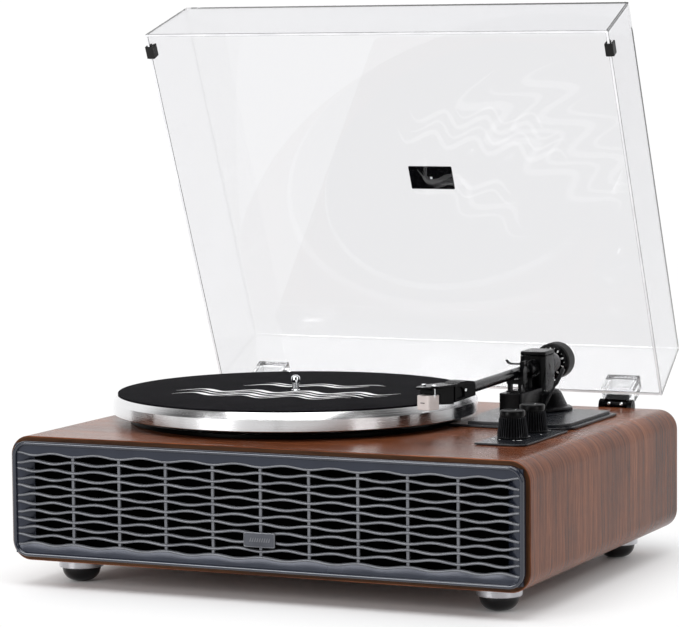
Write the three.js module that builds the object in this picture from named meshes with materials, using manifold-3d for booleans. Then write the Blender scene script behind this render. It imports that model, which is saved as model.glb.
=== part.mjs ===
// Record player: walnut cabinet with a wavy front grille, aluminium platter, straight tonearm and a clear
// dust cover that stands open. Millimetres, +Z up, the front of the cabinet faces -Y.
import * as THREE from "three";
import { mergeVertices } from "three/addons/utils/BufferGeometryUtils.js";
import Module from "manifold-3d";

const wasm = await Module();
wasm.setup();

// ---- driving dimensions ------------------------------------------------------------------------------
const GAP = 0.3; // left between pieces that touch
const DEG = Math.PI / 180;

const CABINET = { width: 442, depth: 343, height: 99.5, wall: 12, corner: 16 };
const TOP = CABINET.height; // the deck that everything stands on
const MIDDLE = CABINET.height / 2;
const BEZEL = { margin: 3.6, corner: 12.5, rim: 2.6, proud: 6, plate: 3.4 };
const WAVES = { lines: 12, pitch: 6.55, length: 41, swing: 1, bar: 2.1, segments: 4 };
const RIBS = { beside: 4, end: 199.7, width: 2.4 };
const FOOT = { radius: 18, ring: 9.2, dome: 15.5, height: 20.5, inset: 39, span: 180.5 };

const PLATTER = { x: -53, y: 176, radius: 150, under: 107.1, top: 122, belt: 88, sides: 56 };
const MAT = { radius: 146.3, top: 123.6 };
const SPINDLE = { radius: 3.6, neck: 2.9, head: 3.8, top: 136.2 };
const MOTOR = { distance: 105, bearing: 143, radius: 18, pulley: 5.5 };
const DISC = { radius: 136, top: 103.1 };

const PIVOT = { x: 123.2, y: 272, z: 140, yaw: 3 }; // where the tonearm swings and tilts
const BASE = { left: 84, right: 187, front: 173, back: 290, step: 101.8, top: 104.2 };
const HOUSING = { left: 115, right: 134.5, front: 205, back: 254, top: 124.3 };
const BLOCK = { width: 22, length: 31, bottom: 121.4, top: 149.6, cap: 153.4, bore: 7.4 };
const TUBE = { radius: 4.25, inside: 3.2, length: 177, collar: 6 };
const HEAD = { start: 174, offset: 22, length: 60 };
const WEIGHT = { front: 39, back: 56.5, radius: 15.4, hole: 8.9, dial: 35.2, shaft: 4.4 };
const REST = { reach: 58.5, latch: 7.2 };
const LEVER = { x: 146, y: 219.6, z: 107.4, rise: 31, length: 60 };
const LIFT = { reach: 24, top: 133.3 };

const PANEL = { left: 146.7, right: 188.2, front: 73, back: 168, top: 101.3 };
const KNOB = { x: 164.3, front: 109.5, back: 152, height: 21.5, foot: 12.2, waist: 10, cap: 9.5 };

const LID = { width: 414.4, front: 4.5, back: 338.5, rim: 100.5, height: 69.7, draft: 5.5, wall: 2.4, open: 66.2 };
const HINGE = { x: 165, y: 349.7, z: 100.7, ear: 14.7, leaf: 9.9, barrel: 4.3, pin: 1.7 };

// ---- materials ---------------------------------------------------------------------------------------
const paint = (color, roughness, metalness = 0) => () =>
  new THREE.MeshStandardMaterial({ color, roughness, metalness });
const walnut = paint(0x6e4430, 0.5);
const fibreboard = paint(0x2a2623, 0.85);
const slate = paint(0x474c5b, 0.45);
const aluminium = paint(0xd6d8dc, 0.28, 1);
const chrome = paint(0xdadde0, 0.15, 1);
const satinBlack = paint(0x1b1b1d, 0.42);
const glossBlack = paint(0x0e0e10, 0.2);
const rubber = paint(0x141414, 0.8);
const matCloth = paint(0x232226, 0.95);
const greyBadge = paint(0x6c7078, 0.4, 0.4);
const ivory = paint(0xd9cfca, 0.5);
const circuitGreen = paint(0x1f5a34, 0.6);
const brass = paint(0xb8963f, 0.3, 1);
const acrylic = () =>
  new THREE.MeshStandardMaterial({ color: 0xf2f5f6, roughness: 0.05, transparent: true, opacity: 0.22 });

// ---- joining and cutting -----------------------------------------------------------------------------
function solid(geometry) {
  const loose = geometry.index ? geometry.toNonIndexed() : geometry.clone();
  const bare = new THREE.BufferGeometry().setAttribute("position", loose.getAttribute("position"));
  const merged = mergeVertices(bare, 1e-3);
  const triVerts = new Uint32Array(merged.index.array);
  const made = new wasm.Manifold(
    new wasm.Mesh({ numProp: 3, vertProperties: merged.attributes.position.array, triVerts }),
  );
  if (made.volume() >= 0) return made;
  for (let i = 0; i < triVerts.length; i += 3) {
    [triVerts[i + 1], triVerts[i + 2]] = [triVerts[i + 2], triVerts[i + 1]];
  }
  return new wasm.Manifold(
    new wasm.Mesh({ numProp: 3, vertProperties: merged.attributes.position.array, triVerts }),
  );
}

function geometryOf(made) {
  const mesh = made.getMesh();
  const geometry = new THREE.BufferGeometry();
  geometry.setAttribute("position", new THREE.BufferAttribute(new Float32Array(mesh.vertProperties), 3));
  geometry.setIndex(new THREE.BufferAttribute(new Uint32Array(mesh.triVerts), 1));
  const faceted = geometry.toNonIndexed();
  faceted.computeVertexNormals();
  return faceted;
}

const outward = (geometry) => geometryOf(solid(geometry));
const join = (...pieces) => geometryOf(pieces.map(solid).reduce((a, b) => a.add(b)));
const cut = (piece, ...tools) => geometryOf(tools.map(solid).reduce((a, b) => a.subtract(b), solid(piece)));

// ---- shapes ------------------------------------------------------------------------------------------
function roundedRect(width, height, radius, cx = 0, cy = 0) {
  const [x, y] = [cx - width / 2, cy - height / 2];
  const shape = new THREE.Shape();
  shape.moveTo(x + radius, y);
  shape.lineTo(x + width - radius, y);
  shape.absarc(x + width - radius, y + radius, radius, -Math.PI / 2, 0);
  shape.lineTo(x + width, y + height - radius);
  shape.absarc(x + width - radius, y + height - radius, radius, 0, Math.PI / 2);
  shape.lineTo(x + radius, y + height);
  shape.absarc(x + radius, y + height - radius, radius, Math.PI / 2, Math.PI);
  shape.lineTo(x, y + radius);
  shape.absarc(x + radius, y + radius, radius, Math.PI, Math.PI * 1.5);
  return shape;
}

const outline = (points) => new THREE.Shape(points.map(([x, y]) => new THREE.Vector2(x, y)));

// A shape thickened upwards from z = bottom to z = top.
function slab(shape, bottom, top, bevel = 0, curveSegments = 5) {
  const geometry = new THREE.ExtrudeGeometry(shape, {
    depth: top - bottom - 2 * bevel,
    curveSegments,
    bevelEnabled: bevel > 0,
    bevelThickness: bevel,
    bevelSize: bevel,
    bevelOffset: -bevel,
    bevelSegments: 1,
  });
  return geometry.translate(0, 0, bottom + bevel);
}

// A shape drawn in X and Z, thickened from y = front to y = back.
function upright(shape, front, back, bevel = 0, curveSegments = 5) {
  return slab(shape, -back, -front, bevel, curveSegments).rotateX(Math.PI / 2);
}

// A profile of [y, z] points, thickened from x = left to x = right.
function sideways(points, left, right) {
  return slab(outline(points), left, right).rotateX(Math.PI / 2).rotateZ(Math.PI / 2);
}

function box(x0, x1, y0, y1, z0, z1) {
  const size = [x1 - x0, y1 - y0, z1 - z0];
  return new THREE.BoxGeometry(...size).translate((x0 + x1) / 2, (y0 + y1) / 2, (z0 + z1) / 2);
}

// A profile of [radius, z] points turned about the vertical axis.
function turned(profile, sides = 24) {
  const points = profile.map(([r, z]) => new THREE.Vector2(r, z));
  if (profile[0][0] > 0) points.push(points[0].clone());
  return new THREE.LatheGeometry(points, sides).rotateX(Math.PI / 2);
}

const drum = (radius, bottom, top, sides = 24) =>
  new THREE.CylinderGeometry(radius, radius, top - bottom, sides)
    .rotateX(Math.PI / 2)
    .translate(0, 0, (bottom + top) / 2);

const alongX = (geometry) => geometry.rotateY(Math.PI / 2); // z becomes x
const alongY = (geometry) => geometry.rotateX(-Math.PI / 2); // z becomes y

// Rings of the same number of points, lowest first, skinned into one closed body.
function loft(rings) {
  const count = rings[0].length;
  const positions = [];
  const at = (ring, i) => rings[ring][i % count];
  const face = (...corners) => corners.forEach((p) => positions.push(...p));
  for (let r = 0; r + 1 < rings.length; r++) {
    for (let i = 0; i < count; i++) {
      face(at(r, i), at(r, i + 1), at(r + 1, i + 1));
      face(at(r, i), at(r + 1, i + 1), at(r + 1, i));
    }
  }
  const last = rings.length - 1;
  for (let i = 1; i + 1 < count; i++) {
    face(at(0, 0), at(0, i + 1), at(0, i));
    face(at(last, 0), at(last, i), at(last, i + 1));
  }
  const geometry = new THREE.BufferGeometry();
  geometry.setAttribute("position", new THREE.Float32BufferAttribute(positions, 3));
  return geometry;
}

// A four-sided block whose top is smaller or larger than its bottom.
function tapered(low, high) {
  const ring = ({ x0, x1, y0, y1, z }) => [[x0, y0, z], [x1, y0, z], [x1, y1, z], [x0, y1, z]];
  return loft([ring(low), ring(high)]);
}

function part(name, geometry, material) {
  const mesh = new THREE.Mesh(geometry, material());
  mesh.name = name;
  return mesh;
}

const motorAt = [
  PLATTER.x + MOTOR.distance * Math.cos(MOTOR.bearing * DEG),
  PLATTER.y + MOTOR.distance * Math.sin(MOTOR.bearing * DEG),
];

// ---- cabinet -----------------------------------------------------------------------------------------
function cabinetShell() {
  const { width, depth, wall, corner } = CABINET;
  const shape = roundedRect(width, TOP, corner, 0, MIDDLE);
  shape.holes.push(roundedRect(width - 2 * wall, TOP - 2 * wall, 5, 0, MIDDLE));
  const hole = (radius, x, y) => drum(radius, TOP - wall - 1, TOP + 1).translate(x, y, 0);
  return part(
    "cabinet_shell",
    cut(
      upright(shape, 0, depth),
      hole(9.6, PLATTER.x, PLATTER.y),
      hole(7, ...motorAt),
      hole(5, KNOB.x, KNOB.front),
      hole(5, KNOB.x, KNOB.back),
      hole(6, PIVOT.x, PIVOT.y),
    ),
    walnut,
  );
}

const insideShape = (clearance, radius = 4.6) =>
  roundedRect(
    CABINET.width - 2 * CABINET.wall - 2 * clearance,
    TOP - 2 * CABINET.wall - 2 * clearance,
    radius,
    0,
    MIDDLE,
  );

// The upright ribs stand one wave apart; the openings beyond the outermost ribs are narrower.
const ribPositions = [
  -RIBS.end,
  ...Array.from({ length: 2 * RIBS.beside + 1 }, (_, i) => (i - RIBS.beside) * WAVES.length),
  RIBS.end,
];

// One opening of the grille: the gap between two neighbouring wavy bars, from one upright rib to the next.
function grilleOpening(row, from, to) {
  const first = MIDDLE + (WAVES.pitch * (WAVES.lines - 1)) / 2;
  const line = (index, share) => {
    const side = index % 2 ? 1 : -1;
    return first - index * WAVES.pitch + side * WAVES.swing * Math.cos(2 * Math.PI * share);
  };
  const shares = Array.from({ length: WAVES.segments + 1 }, (_, i) => i / WAVES.segments);
  const across = (share) => from + RIBS.width / 2 + (to - from - RIBS.width) * share;
  const upper = shares.map((share) => [across(share), line(row, share) - WAVES.bar / 2]);
  const lower = shares.map((share) => [across(share), line(row + 1, share) + WAVES.bar / 2]);
  return new THREE.Path([...lower, ...upper.reverse()].map(([x, z]) => new THREE.Vector2(x, z)));
}

function frontGrille() {
  const width = CABINET.width - 2 * BEZEL.margin;
  const height = TOP - 2 * BEZEL.margin;
  const plate = roundedRect(width, height, BEZEL.corner, 0, MIDDLE);
  for (let row = 0; row + 1 < WAVES.lines; row++) {
    for (let i = 0; i + 1 < ribPositions.length; i++) {
      plate.holes.push(grilleOpening(row, ribPositions[i], ribPositions[i + 1]));
    }
  }
  const rim = roundedRect(width, height, BEZEL.corner, 0, MIDDLE);
  const inner = [width - 2 * BEZEL.rim, height - 2 * BEZEL.rim, BEZEL.corner - BEZEL.rim];
  rim.holes.push(roundedRect(...inner, 0, MIDDLE));
  const spigot = insideShape(0.5);
  spigot.holes.push(insideShape(2.5, 3));
  return part(
    "front_grille",
    join(
      upright(plate, -BEZEL.plate, -GAP),
      upright(rim, -BEZEL.proud, -BEZEL.plate + 0.5),
      upright(spigot, -GAP - 0.5, 7),
    ),
    slate,
  );
}

const grilleBadge = () =>
  part(
    "grille_badge",
    upright(roundedRect(26.6, 11.6, 0.8, 0, 28.6), -BEZEL.plate - 1.9, -BEZEL.plate - GAP, 0.4, 2),
    greyBadge,
  );

function speakerBaffle() {
  const shape = insideShape(0.5);
  for (const side of [-1, 1]) {
    const hole = new THREE.Path().absarc(side * 120, MIDDLE, 29, 0, 2 * Math.PI, true);
    shape.holes.push(hole);
  }
  return part("speaker_baffle", upright(shape, 7.5, 13.5), fibreboard);
}

// Drive unit seen from its rim: flange, basket, magnet, and a cone that opens forwards.
function speakerDriver(name, x) {
  const profile = [[0, 7.5], [8, 9], [9, 12], [26, 1], [35, 0], [35, 3], [28, 5], [18, 23], [18, 32], [0, 32]];
  return part(name, outward(alongY(turned(profile, 20)).translate(x, 13.5 + GAP, MIDDLE)), satinBlack);
}

function backPanel() {
  const opening = roundedRect(96, 34, 2, -120, 50);
  const shape = insideShape(GAP);
  shape.holes.push(opening);
  return part("back_panel", upright(shape, CABINET.depth - 10, CABINET.depth - 4), fibreboard);
}

function jackPanel() {
  const shape = roundedRect(110, 46, 3, -120, 50);
  for (const x of [-142, -122]) {
    shape.holes.push(new THREE.Path().absarc(x, 50, 5.4, 0, 2 * Math.PI, true));
  }
  shape.holes.push(new THREE.Path().absarc(-92, 50, 4.4, 0, 2 * Math.PI, true));
  return part(
    "jack_panel",
    upright(shape, CABINET.depth - 4 + GAP, CABINET.depth - 2, 0, 4),
    satinBlack,
  );
}

// The pair of phono sockets is one moulding with two metal barrels through the panel.
function phonoSockets() {
  const y = CABINET.depth;
  const barrel = (x) =>
    alongY(turned([[0, 0], [4.9, 0], [4.9, 14], [3.4, 14], [3.4, 5], [0, 5]], 16)).translate(x, y - 12, 50);
  return part(
    "rca_jack_block",
    join(box(-151, -113, y - 24, y - 10.5, 40, 60), barrel(-142), barrel(-122)),
    brass,
  );
}

function powerInlet() {
  const y = CABINET.depth;
  const body = box(-98, -86, y - 20, y - 10.5, 44, 56);
  const barrel = alongY(turned([[0, 0], [4, 0], [4, 11.4], [2.8, 11.4], [2.8, 3], [0, 3]], 16));
  return part("power_inlet", join(body, barrel.translate(-92, y - 12, 50)), satinBlack);
}

function amplifierBoard() {
  const [x, y, z] = [-100, 262, CABINET.wall + 6];
  const leg = (dx, dy) => drum(2.5, CABINET.wall + GAP, z + 1, 8).translate(x + dx, y + dy, 0);
  const legs = [leg(-44, -24), leg(44, -24), leg(-44, 24), leg(44, 24)];
  return part(
    "amplifier_board",
    join(
      box(x - 50, x + 50, y - 30, y + 30, z, z + 1.6),
      box(x - 30, x - 5, y - 8, y + 20, z + 1, z + 18),
      drum(6, z + 1, z + 16, 12).translate(x + 18, y + 8, 0),
      drum(6, z + 1, z + 16, 12).translate(x + 34, y + 8, 0),
      ...legs,
    ),
    circuitGreen,
  );
}

function footRing(name, x, y) {
  const { radius, ring } = FOOT;
  const profile = [[0, -ring], [radius - 0.8, -ring], [radius, -ring + 0.8], [radius, -GAP], [0, -GAP]];
  return part(name, outward(turned(profile, 24).translate(x, y, 0)), aluminium);
}

function footPad(name, x, y) {
  const { dome, ring, height } = FOOT;
  const top = -ring - GAP;
  const profile = [[0, -height], [5, -height], [10, -height + 1.7], [14.2, -height + 5.6]];
  profile.push([dome, top], [0, top]);
  return part(name, outward(turned(profile, 20).translate(x, y, 0)), rubber);
}

function feet() {
  const back = CABINET.depth - FOOT.inset;
  const corners = {
    front_left: [-FOOT.span, FOOT.inset],
    front_right: [FOOT.span, FOOT.inset],
    back_left: [-FOOT.span, back],
    back_right: [FOOT.span, back],
  };
  return Object.entries(corners).flatMap(([name, [x, y]]) => [
    footRing("foot_ring_" + name, x, y),
    footPad("foot_pad_" + name, x, y),
  ]);
}

// ---- platter and drive -------------------------------------------------------------------------------
function platter() {
  const { radius, under, top, belt, sides } = PLATTER;
  const web = top - 4.5;
  const profile = [
    [SPINDLE.radius + GAP, under + 1], [12, under + 1], [12, web], [belt - 4, web], [belt - 4, under + 1.4],
    [belt, under + 1.4], [belt, web], [radius - 4.5, web], [radius - 4.5, under], [radius, under],
    [radius, top - 5.2], [radius - 1, top - 2.6], [radius - 3.4, top], [SPINDLE.radius + GAP, top],
  ];
  return part("platter", outward(turned(profile, sides).translate(PLATTER.x, PLATTER.y, 0)), aluminium);
}

function slipMat() {
  const low = PLATTER.top + GAP;
  const hole = SPINDLE.radius + GAP;
  const profile = [[hole, low], [MAT.radius, low], [MAT.radius, MAT.top], [hole, MAT.top]];
  return part("slip_mat", outward(turned(profile, PLATTER.sides).translate(PLATTER.x, PLATTER.y, 0)), matCloth);
}

function spindle() {
  const { radius, neck, head, top } = SPINDLE;
  const profile = [
    [0, 67.4], [radius, 67.4], [radius, DISC.top + 0.4], [8, DISC.top + 0.4], [8, PLATTER.under + 0.6],
    [radius, PLATTER.under + 0.6], [radius, MAT.top], [neck, MAT.top + 0.8], [neck, top - 6.4], [head, top - 4],
    [head - 0.3, top - 1.6], [head - 1.9, top - 0.3], [0, top],
  ];
  return part("spindle", outward(turned(profile, 20).translate(PLATTER.x, PLATTER.y, 0)), chrome);
}

function bearingHousing() {
  const low = TOP + GAP;
  const profile = [
    [0, 64], [9, 64], [9, low], [20, low], [20, DISC.top - GAP], [SPINDLE.radius + GAP, DISC.top - GAP],
    [SPINDLE.radius + GAP, 67], [0, 67],
  ];
  return part("bearing_housing", outward(turned(profile, 20).translate(PLATTER.x, PLATTER.y, 0)), satinBlack);
}

function deckDisc() {
  const profile = [[20.4, TOP + GAP], [DISC.radius, TOP + GAP], [DISC.radius, DISC.top - 0.6]];
  profile.push([DISC.radius - 0.6, DISC.top], [20.4, DISC.top]);
  const disc = turned(profile, 48).translate(PLATTER.x, PLATTER.y, 0);
  return part("deck_disc", cut(disc, drum(9, 90, 110, 16).translate(...motorAt, 0)), glossBlack);
}

// The belt runs round the ring under the platter and round the pulley.
function driveBelt() {
  const thick = 0.8;
  const loop = (extra, Kind) => {
    const [big, small] = [PLATTER.belt + GAP + extra, MOTOR.pulley + GAP + extra];
    const turn = MOTOR.bearing * DEG;
    const lean = Math.acos((big - small) / MOTOR.distance);
    const points = [];
    for (let i = 0; i <= 36; i++) {
      const angle = turn + lean + ((2 * Math.PI - 2 * lean) * i) / 36;
      points.push(new THREE.Vector2(big * Math.cos(angle), big * Math.sin(angle)));
    }
    const centre = [MOTOR.distance * Math.cos(turn), MOTOR.distance * Math.sin(turn)];
    for (let i = 0; i <= 8; i++) {
      const angle = turn - lean + (2 * lean * i) / 8;
      points.push(new THREE.Vector2(centre[0] + small * Math.cos(angle), centre[1] + small * Math.sin(angle)));
    }
    return new Kind(points);
  };
  const shape = loop(thick, THREE.Shape);
  shape.holes.push(loop(0, THREE.Path));
  return part("drive_belt", slab(shape, 109, 113).translate(PLATTER.x, PLATTER.y, 0), rubber);
}

function motorPulley() {
  const { pulley } = MOTOR;
  const profile = [[0, 78], [1, 78], [1, 106.5], [pulley + 1, 106.5], [pulley, 108], [pulley, 114], [0, 114]];
  return part("motor_pulley", outward(turned(profile, 20).translate(...motorAt, 0)), brass);
}

function motor() {
  const top = TOP - CABINET.wall - GAP;
  const profile = [[0, 58], [MOTOR.radius, 58], [MOTOR.radius, top], [1.4, top], [1.4, 76], [0, 76]];
  return part("motor", outward(turned(profile, 24).translate(...motorAt, 0)), aluminium);
}

// ---- controls ----------------------------------------------------------------------------------------
function controlPlate() {
  const { left, right, front, back, top } = PANEL;
  const shape = new THREE.Shape();
  shape.moveTo(left, front);
  shape.lineTo(right - 8, front);
  shape.absarc(right - 8, front + 8, 8, -Math.PI / 2, 0);
  shape.lineTo(right, back);
  shape.lineTo(left, back);
  for (const y of [KNOB.front, KNOB.back]) {
    shape.holes.push(new THREE.Path().absarc(KNOB.x, y, 4.2, 0, 2 * Math.PI, true));
  }
  return part("control_plate", slab(shape, TOP + GAP, top, 0.4), satinBlack);
}

// A flared, fluted skirt with a smooth cap; the stem hole underneath takes the potentiometer's shaft.
function knob(name, y) {
  const { height, foot, waist, cap } = KNOB;
  const flutes = 20;
  const ring = (radius, depth, z) =>
    Array.from({ length: flutes * 2 }, (_, i) => {
      const r = radius - (i % 2 ? depth : 0);
      const angle = (Math.PI * i) / flutes;
      return [r * Math.cos(angle), r * Math.sin(angle), z];
    });
  const body = loft([
    ring(foot, 0, 0), ring(foot - 0.2, 0.4, 1.2), ring(waist + 0.6, 0.8, 9), ring(waist, 0.8, 16),
    ring(cap, 0, 16.6), ring(cap, 0, height - 1), ring(cap - 1, 0, height),
  ]);
  const made = cut(body, drum(3.4, -1, 12, 12));
  return part(name, made.translate(KNOB.x, y, PANEL.top + 0.4), glossBlack);
}

// One small board under the deck carries both potentiometers and their shafts.
function controlBoard() {
  const under = TOP - CABINET.wall - GAP;
  const pot = (y) =>
    join(
      drum(9, under - 9, under, 16).translate(KNOB.x, y, 0),
      drum(3, under - 1, PANEL.top + 10, 12).translate(KNOB.x, y, 0),
    );
  return part(
    "control_board",
    join(box(KNOB.x - 14, KNOB.x + 14, 92, 168, under - 10.6, under - 8.5), pot(KNOB.front), pot(KNOB.back)),
    circuitGreen,
  );
}

// ---- tonearm stand -----------------------------------------------------------------------------------
// Two levels, the upper one set in from the edge, both cut back round the platter.
function tonearmBasePlate() {
  const level = (inset, bottom, top, bevel) => {
    const [left, right] = [BASE.left + inset, BASE.right - inset];
    const [front, back] = [BASE.front + inset, BASE.back - inset];
    const corner = 20 - inset;
    const shape = new THREE.Shape();
    shape.moveTo(left, front);
    shape.lineTo(right - corner, front);
    shape.absarc(right - corner, front + corner, corner, -Math.PI / 2, 0);
    shape.lineTo(right, back - 3);
    shape.absarc(right - 3, back - 3, 3, 0, Math.PI / 2);
    shape.lineTo(left, back);
    return slab(shape, bottom, top, bevel, 8);
  };
  const round = (radius, bottom, top) => drum(radius, bottom, top, 96).translate(PLATTER.x, PLATTER.y, 0);
  const lower = cut(level(0, TOP + GAP, BASE.step, 0.4), round(DISC.radius + 1, 90, 110));
  const upper = cut(level(4.5, BASE.step - 0.5, BASE.top, 0.5), round(PLATTER.radius + 2, 90, 110));
  return part("tonearm_base_plate", join(lower, upper), satinBlack);
}

function pedestalProfile(grow = 0) {
  const low = BASE.top + GAP;
  const bore = 5.6 - 6 * grow;
  const outside = [[29, low + 1.6], [27.6, low + 2.6], [24.9, low + 3.1], [19.7, 118.6], [17.4, 120.6]];
  return [
    [bore, low - grow], [29 + grow, low - grow],
    ...outside.map(([r, z]) => [r + grow, z + grow]),
    [bore, 120.6 + grow],
  ];
}

const pivotPedestal = () =>
  part("pivot_pedestal", outward(turned(pedestalProfile(), 28).translate(PIVOT.x, PIVOT.y, 0)), satinBlack);

function liftHousing() {
  const { left, right, front, back, top } = HOUSING;
  const shape = roundedRect(right - left, back - front, 1.6, (left + right) / 2, (front + back) / 2);
  const turn = PIVOT.yaw * DEG;
  const reach = [PIVOT.x + LIFT.reach * Math.sin(turn), PIVOT.y - LIFT.reach * Math.cos(turn)];
  return part(
    "lift_housing",
    cut(
      slab(shape, BASE.top + GAP, top, 0.5, 2),
      turned(pedestalProfile(0.5), 28).translate(PIVOT.x, PIVOT.y, 0),
      drum(3.3, 117.6, top + 2, 16).translate(...reach, 0),
      alongX(drum(2.3, right - 6, right + 2, 12)).translate(0, LEVER.y, LEVER.z),
    ),
    satinBlack,
  );
}

// Hub on the side of the housing, a thin rod and a thicker finger grip that leans to the back.
function cueLever() {
  const { x, y, z, rise, length } = LEVER;
  const rod = (radius, from, to, sides) =>
    alongY(drum(radius, from, to, sides)).rotateX(rise * DEG).translate(x, y, z);
  const hub = alongX(drum(2.8, HOUSING.right + GAP, x + 1.6, 16)).translate(0, y, z);
  const stub = alongX(drum(1.9, HOUSING.right - 5, HOUSING.right + 1, 12)).translate(0, y, z);
  const lever = join(hub, stub, rod(1, 0, length - 20, 10), rod(1.9, length - 22, length, 12));
  return part("cue_lever", lever, satinBlack);
}

// ---- tonearm, in its own frame: origin at the pivot, the tube runs to -Y ------------------------------
function cuePlatform() {
  const { reach, top } = LIFT;
  const z = (height) => height - PIVOT.z;
  const arc = new THREE.Shape();
  const [from, to] = [(-90 + 8) * DEG, (-90 - 46) * DEG];
  arc.absarc(0, 0, reach + 2, from, to, true);
  arc.absarc(0, 0, reach - 2, to, from, false);
  return part(
    "cue_platform",
    join(slab(arc, z(top - 3), z(top), 0, 10), drum(2.9, z(118.8), z(top - 1), 16).translate(0, -reach, 0)),
    satinBlack,
  );
}

// A saddle on two posts; the wall on the outer side carries the latch between two ears.
function armRest() {
  const { reach, latch } = REST;
  const z = (height) => height - PIVOT.z;
  const [front, back] = [-reach - 4.5, -reach + 4.5];
  const low = z(HOUSING.top + GAP);
  const ear = (y0, y1) => box(latch - 2, latch + 2, y0, y1, 5, 10.3);
  return part(
    "arm_rest",
    join(
      box(-6.5, 6.5, front, back, low, low + 1.6),
      box(-5.8, -3, front + 1.5, back - 1.5, low + 1, -8),
      box(3, 5.8, front + 1.5, back - 1.5, low + 1, -8),
      box(-6.2, 8.4, front, back, -8.4, -4.6),
      box(5, 8.4, front, back, -5, 6),
      ear(front, front + 1.3),
      ear(back - 1.3, back),
    ),
    satinBlack,
  );
}

function armLatch() {
  const { reach, latch } = REST;
  const half = 2.9;
  const bar = [
    [latch, 7.2], [-4.6, 7.2], [-8.4, 11.2], [-7.2, 12.2], [-4, 9.1], [0, 9.4], [latch, 9.8],
  ];
  const flat = upright(outline(bar), -reach - half, -reach + half);
  const knuckle = alongY(drum(1.6, -reach - half, -reach + half, 12)).translate(latch, 0, 8.4);
  return part("arm_latch", join(flat, knuckle), satinBlack);
}

const blockOutline = () => roundedRect(BLOCK.width, BLOCK.length, 4.5);

function pivotBlock() {
  const z = (height) => height - PIVOT.z;
  const { bottom, top, bore, length, width } = BLOCK;
  return part(
    "pivot_block",
    cut(
      join(slab(blockOutline(), z(bottom), z(top), 0.6, 3), drum(5.2, z(106), z(bottom) + 1, 16)),
      alongY(drum(bore, -length, length, 16)),
      alongX(drum(1.9, -width / 2 + 1.2, width / 2 - 1.2, 12)),
    ),
    satinBlack,
  );
}

const pivotCap = () =>
  part(
    "pivot_cap",
    slab(blockOutline(), BLOCK.top + GAP - PIVOT.z, BLOCK.cap - PIVOT.z, 1.3, 3),
    satinBlack,
  );

function armTube() {
  const { radius, inside, length } = TUBE;
  const profile = [[inside, -7], [radius, -7], [radius, length], [inside, length]];
  const pins = alongX(drum(1.5, -BLOCK.width / 2 + 1.6, BLOCK.width / 2 - 1.6, 10));
  const whole = join(alongY(turned(profile, 20)).rotateZ(Math.PI), pins);
  const beyond = box(-12, 12, -30, GAP, -12, 12).rotateZ(-HEAD.offset * DEG).translate(0, -HEAD.start, 0);
  return part("arm_tube", cut(whole, beyond), satinBlack);
}

function armCollar() {
  const { radius, collar } = TUBE;
  const profile = [[radius + GAP, 9], [collar, 9], [collar, 30], [collar - 0.8, 31], [radius + GAP, 31]];
  return part("arm_collar", outward(alongY(turned(profile, 24)).rotateZ(Math.PI)), satinBlack);
}

function weightShaft() {
  const { shaft } = WEIGHT;
  const profile = [[0, 7.3], [shaft, 7.3], [shaft, 56], [shaft - 0.8, 56.8], [0, 56.8]];
  return part("weight_shaft", outward(alongY(turned(profile, 16))), aluminium);
}

function weightSleeve() {
  const inner = WEIGHT.shaft + GAP;
  const outer = WEIGHT.hole - GAP;
  const profile = [[inner, 34.6], [outer - 0.8, 34.6], [outer, 35.4], [outer, 53], [inner, 53]];
  return part("weight_sleeve", outward(alongY(turned(profile, 24))), greyBadge);
}

function counterweight() {
  const { front, back, radius, hole } = WEIGHT;
  const profile = [[hole, front], [radius, front], [radius, back - 1.6], [radius - 1.6, back], [hole, back]];
  return part("counterweight", outward(alongY(turned(profile, 28))), rubber);
}

function weightDial() {
  const { dial, front, radius, hole } = WEIGHT;
  const profile = [[hole, dial], [radius - 1.8, dial], [radius - 0.2, dial + 1.6], [radius - 0.2, front - GAP]];
  profile.push([hole, front - GAP]);
  return part("weight_dial", outward(alongY(turned(profile, 28))), satinBlack);
}

// ---- head of the tonearm, in its own frame: origin at the end of the tube, the nose points to -Y -------
function headShell() {
  const { length } = HEAD;
  const half = [[7, 0], [7.2, 14], [8.6, 28], [8.8, 42], [4, length - 3], [1.4, length]];
  const plan = [...half.map(([x, y]) => [x, -y]), ...half.reverse().map(([x, y]) => [-x, -y])];
  const side = [[0, -4.8], [0, 4.4], [-1.6, 6.4], [-9, 7.4], [-16, 7.2], [-22, 6], [-26, 6]];
  side.push([-26, 4.2], [-24, 4.2], [-24, -8.4]);
  return part("head_shell", join(slab(outline(plan), 4.2, 6), sideways(side, -7, 7)), satinBlack);
}

function cartridgeBody() {
  const side = [[-24.4, 3.9], [-49.5, 3.9], [-49.5, -0.6], [-40.4, -0.6], [-40.4, -8.6], [-24.4, -9.6]];
  return part("cartridge_body", sideways(side, -6.2, 6.2), satinBlack);
}

const stylusHolder = () =>
  part("stylus_holder", slab(roundedRect(12.4, 13, 1.6, 0, -47.4), -12.2, -0.9, 0.5, 2), ivory);

function stylusCantilever() {
  const side = [[-44, -12.5], [-48, -12.5], [-53.4, -13.3], [-53.4, -14.4], [-52.8, -14.4]];
  side.push([-52.6, -13.9], [-44, -13.2]);
  return part("stylus_cantilever", sideways(side, -0.5, 0.5), aluminium);
}

// ---- dust cover, drawn shut ---------------------------------------------------------------------------
function dustCover() {
  const { width, front, back, rim, height, draft, wall } = LID;
  const level = (z, inset) => {
    const lean = (draft * (z - rim)) / height + inset;
    return { x0: lean - width / 2, x1: width / 2 - lean, y0: front + lean, y1: back - lean, z };
  };
  const outside = tapered(level(rim, 0), level(rim + height, 0));
  const inside = tapered(level(rim - 5, wall), level(rim + height - wall, wall));
  return part("dust_cover", cut(outside, inside), acrylic);
}

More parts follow.
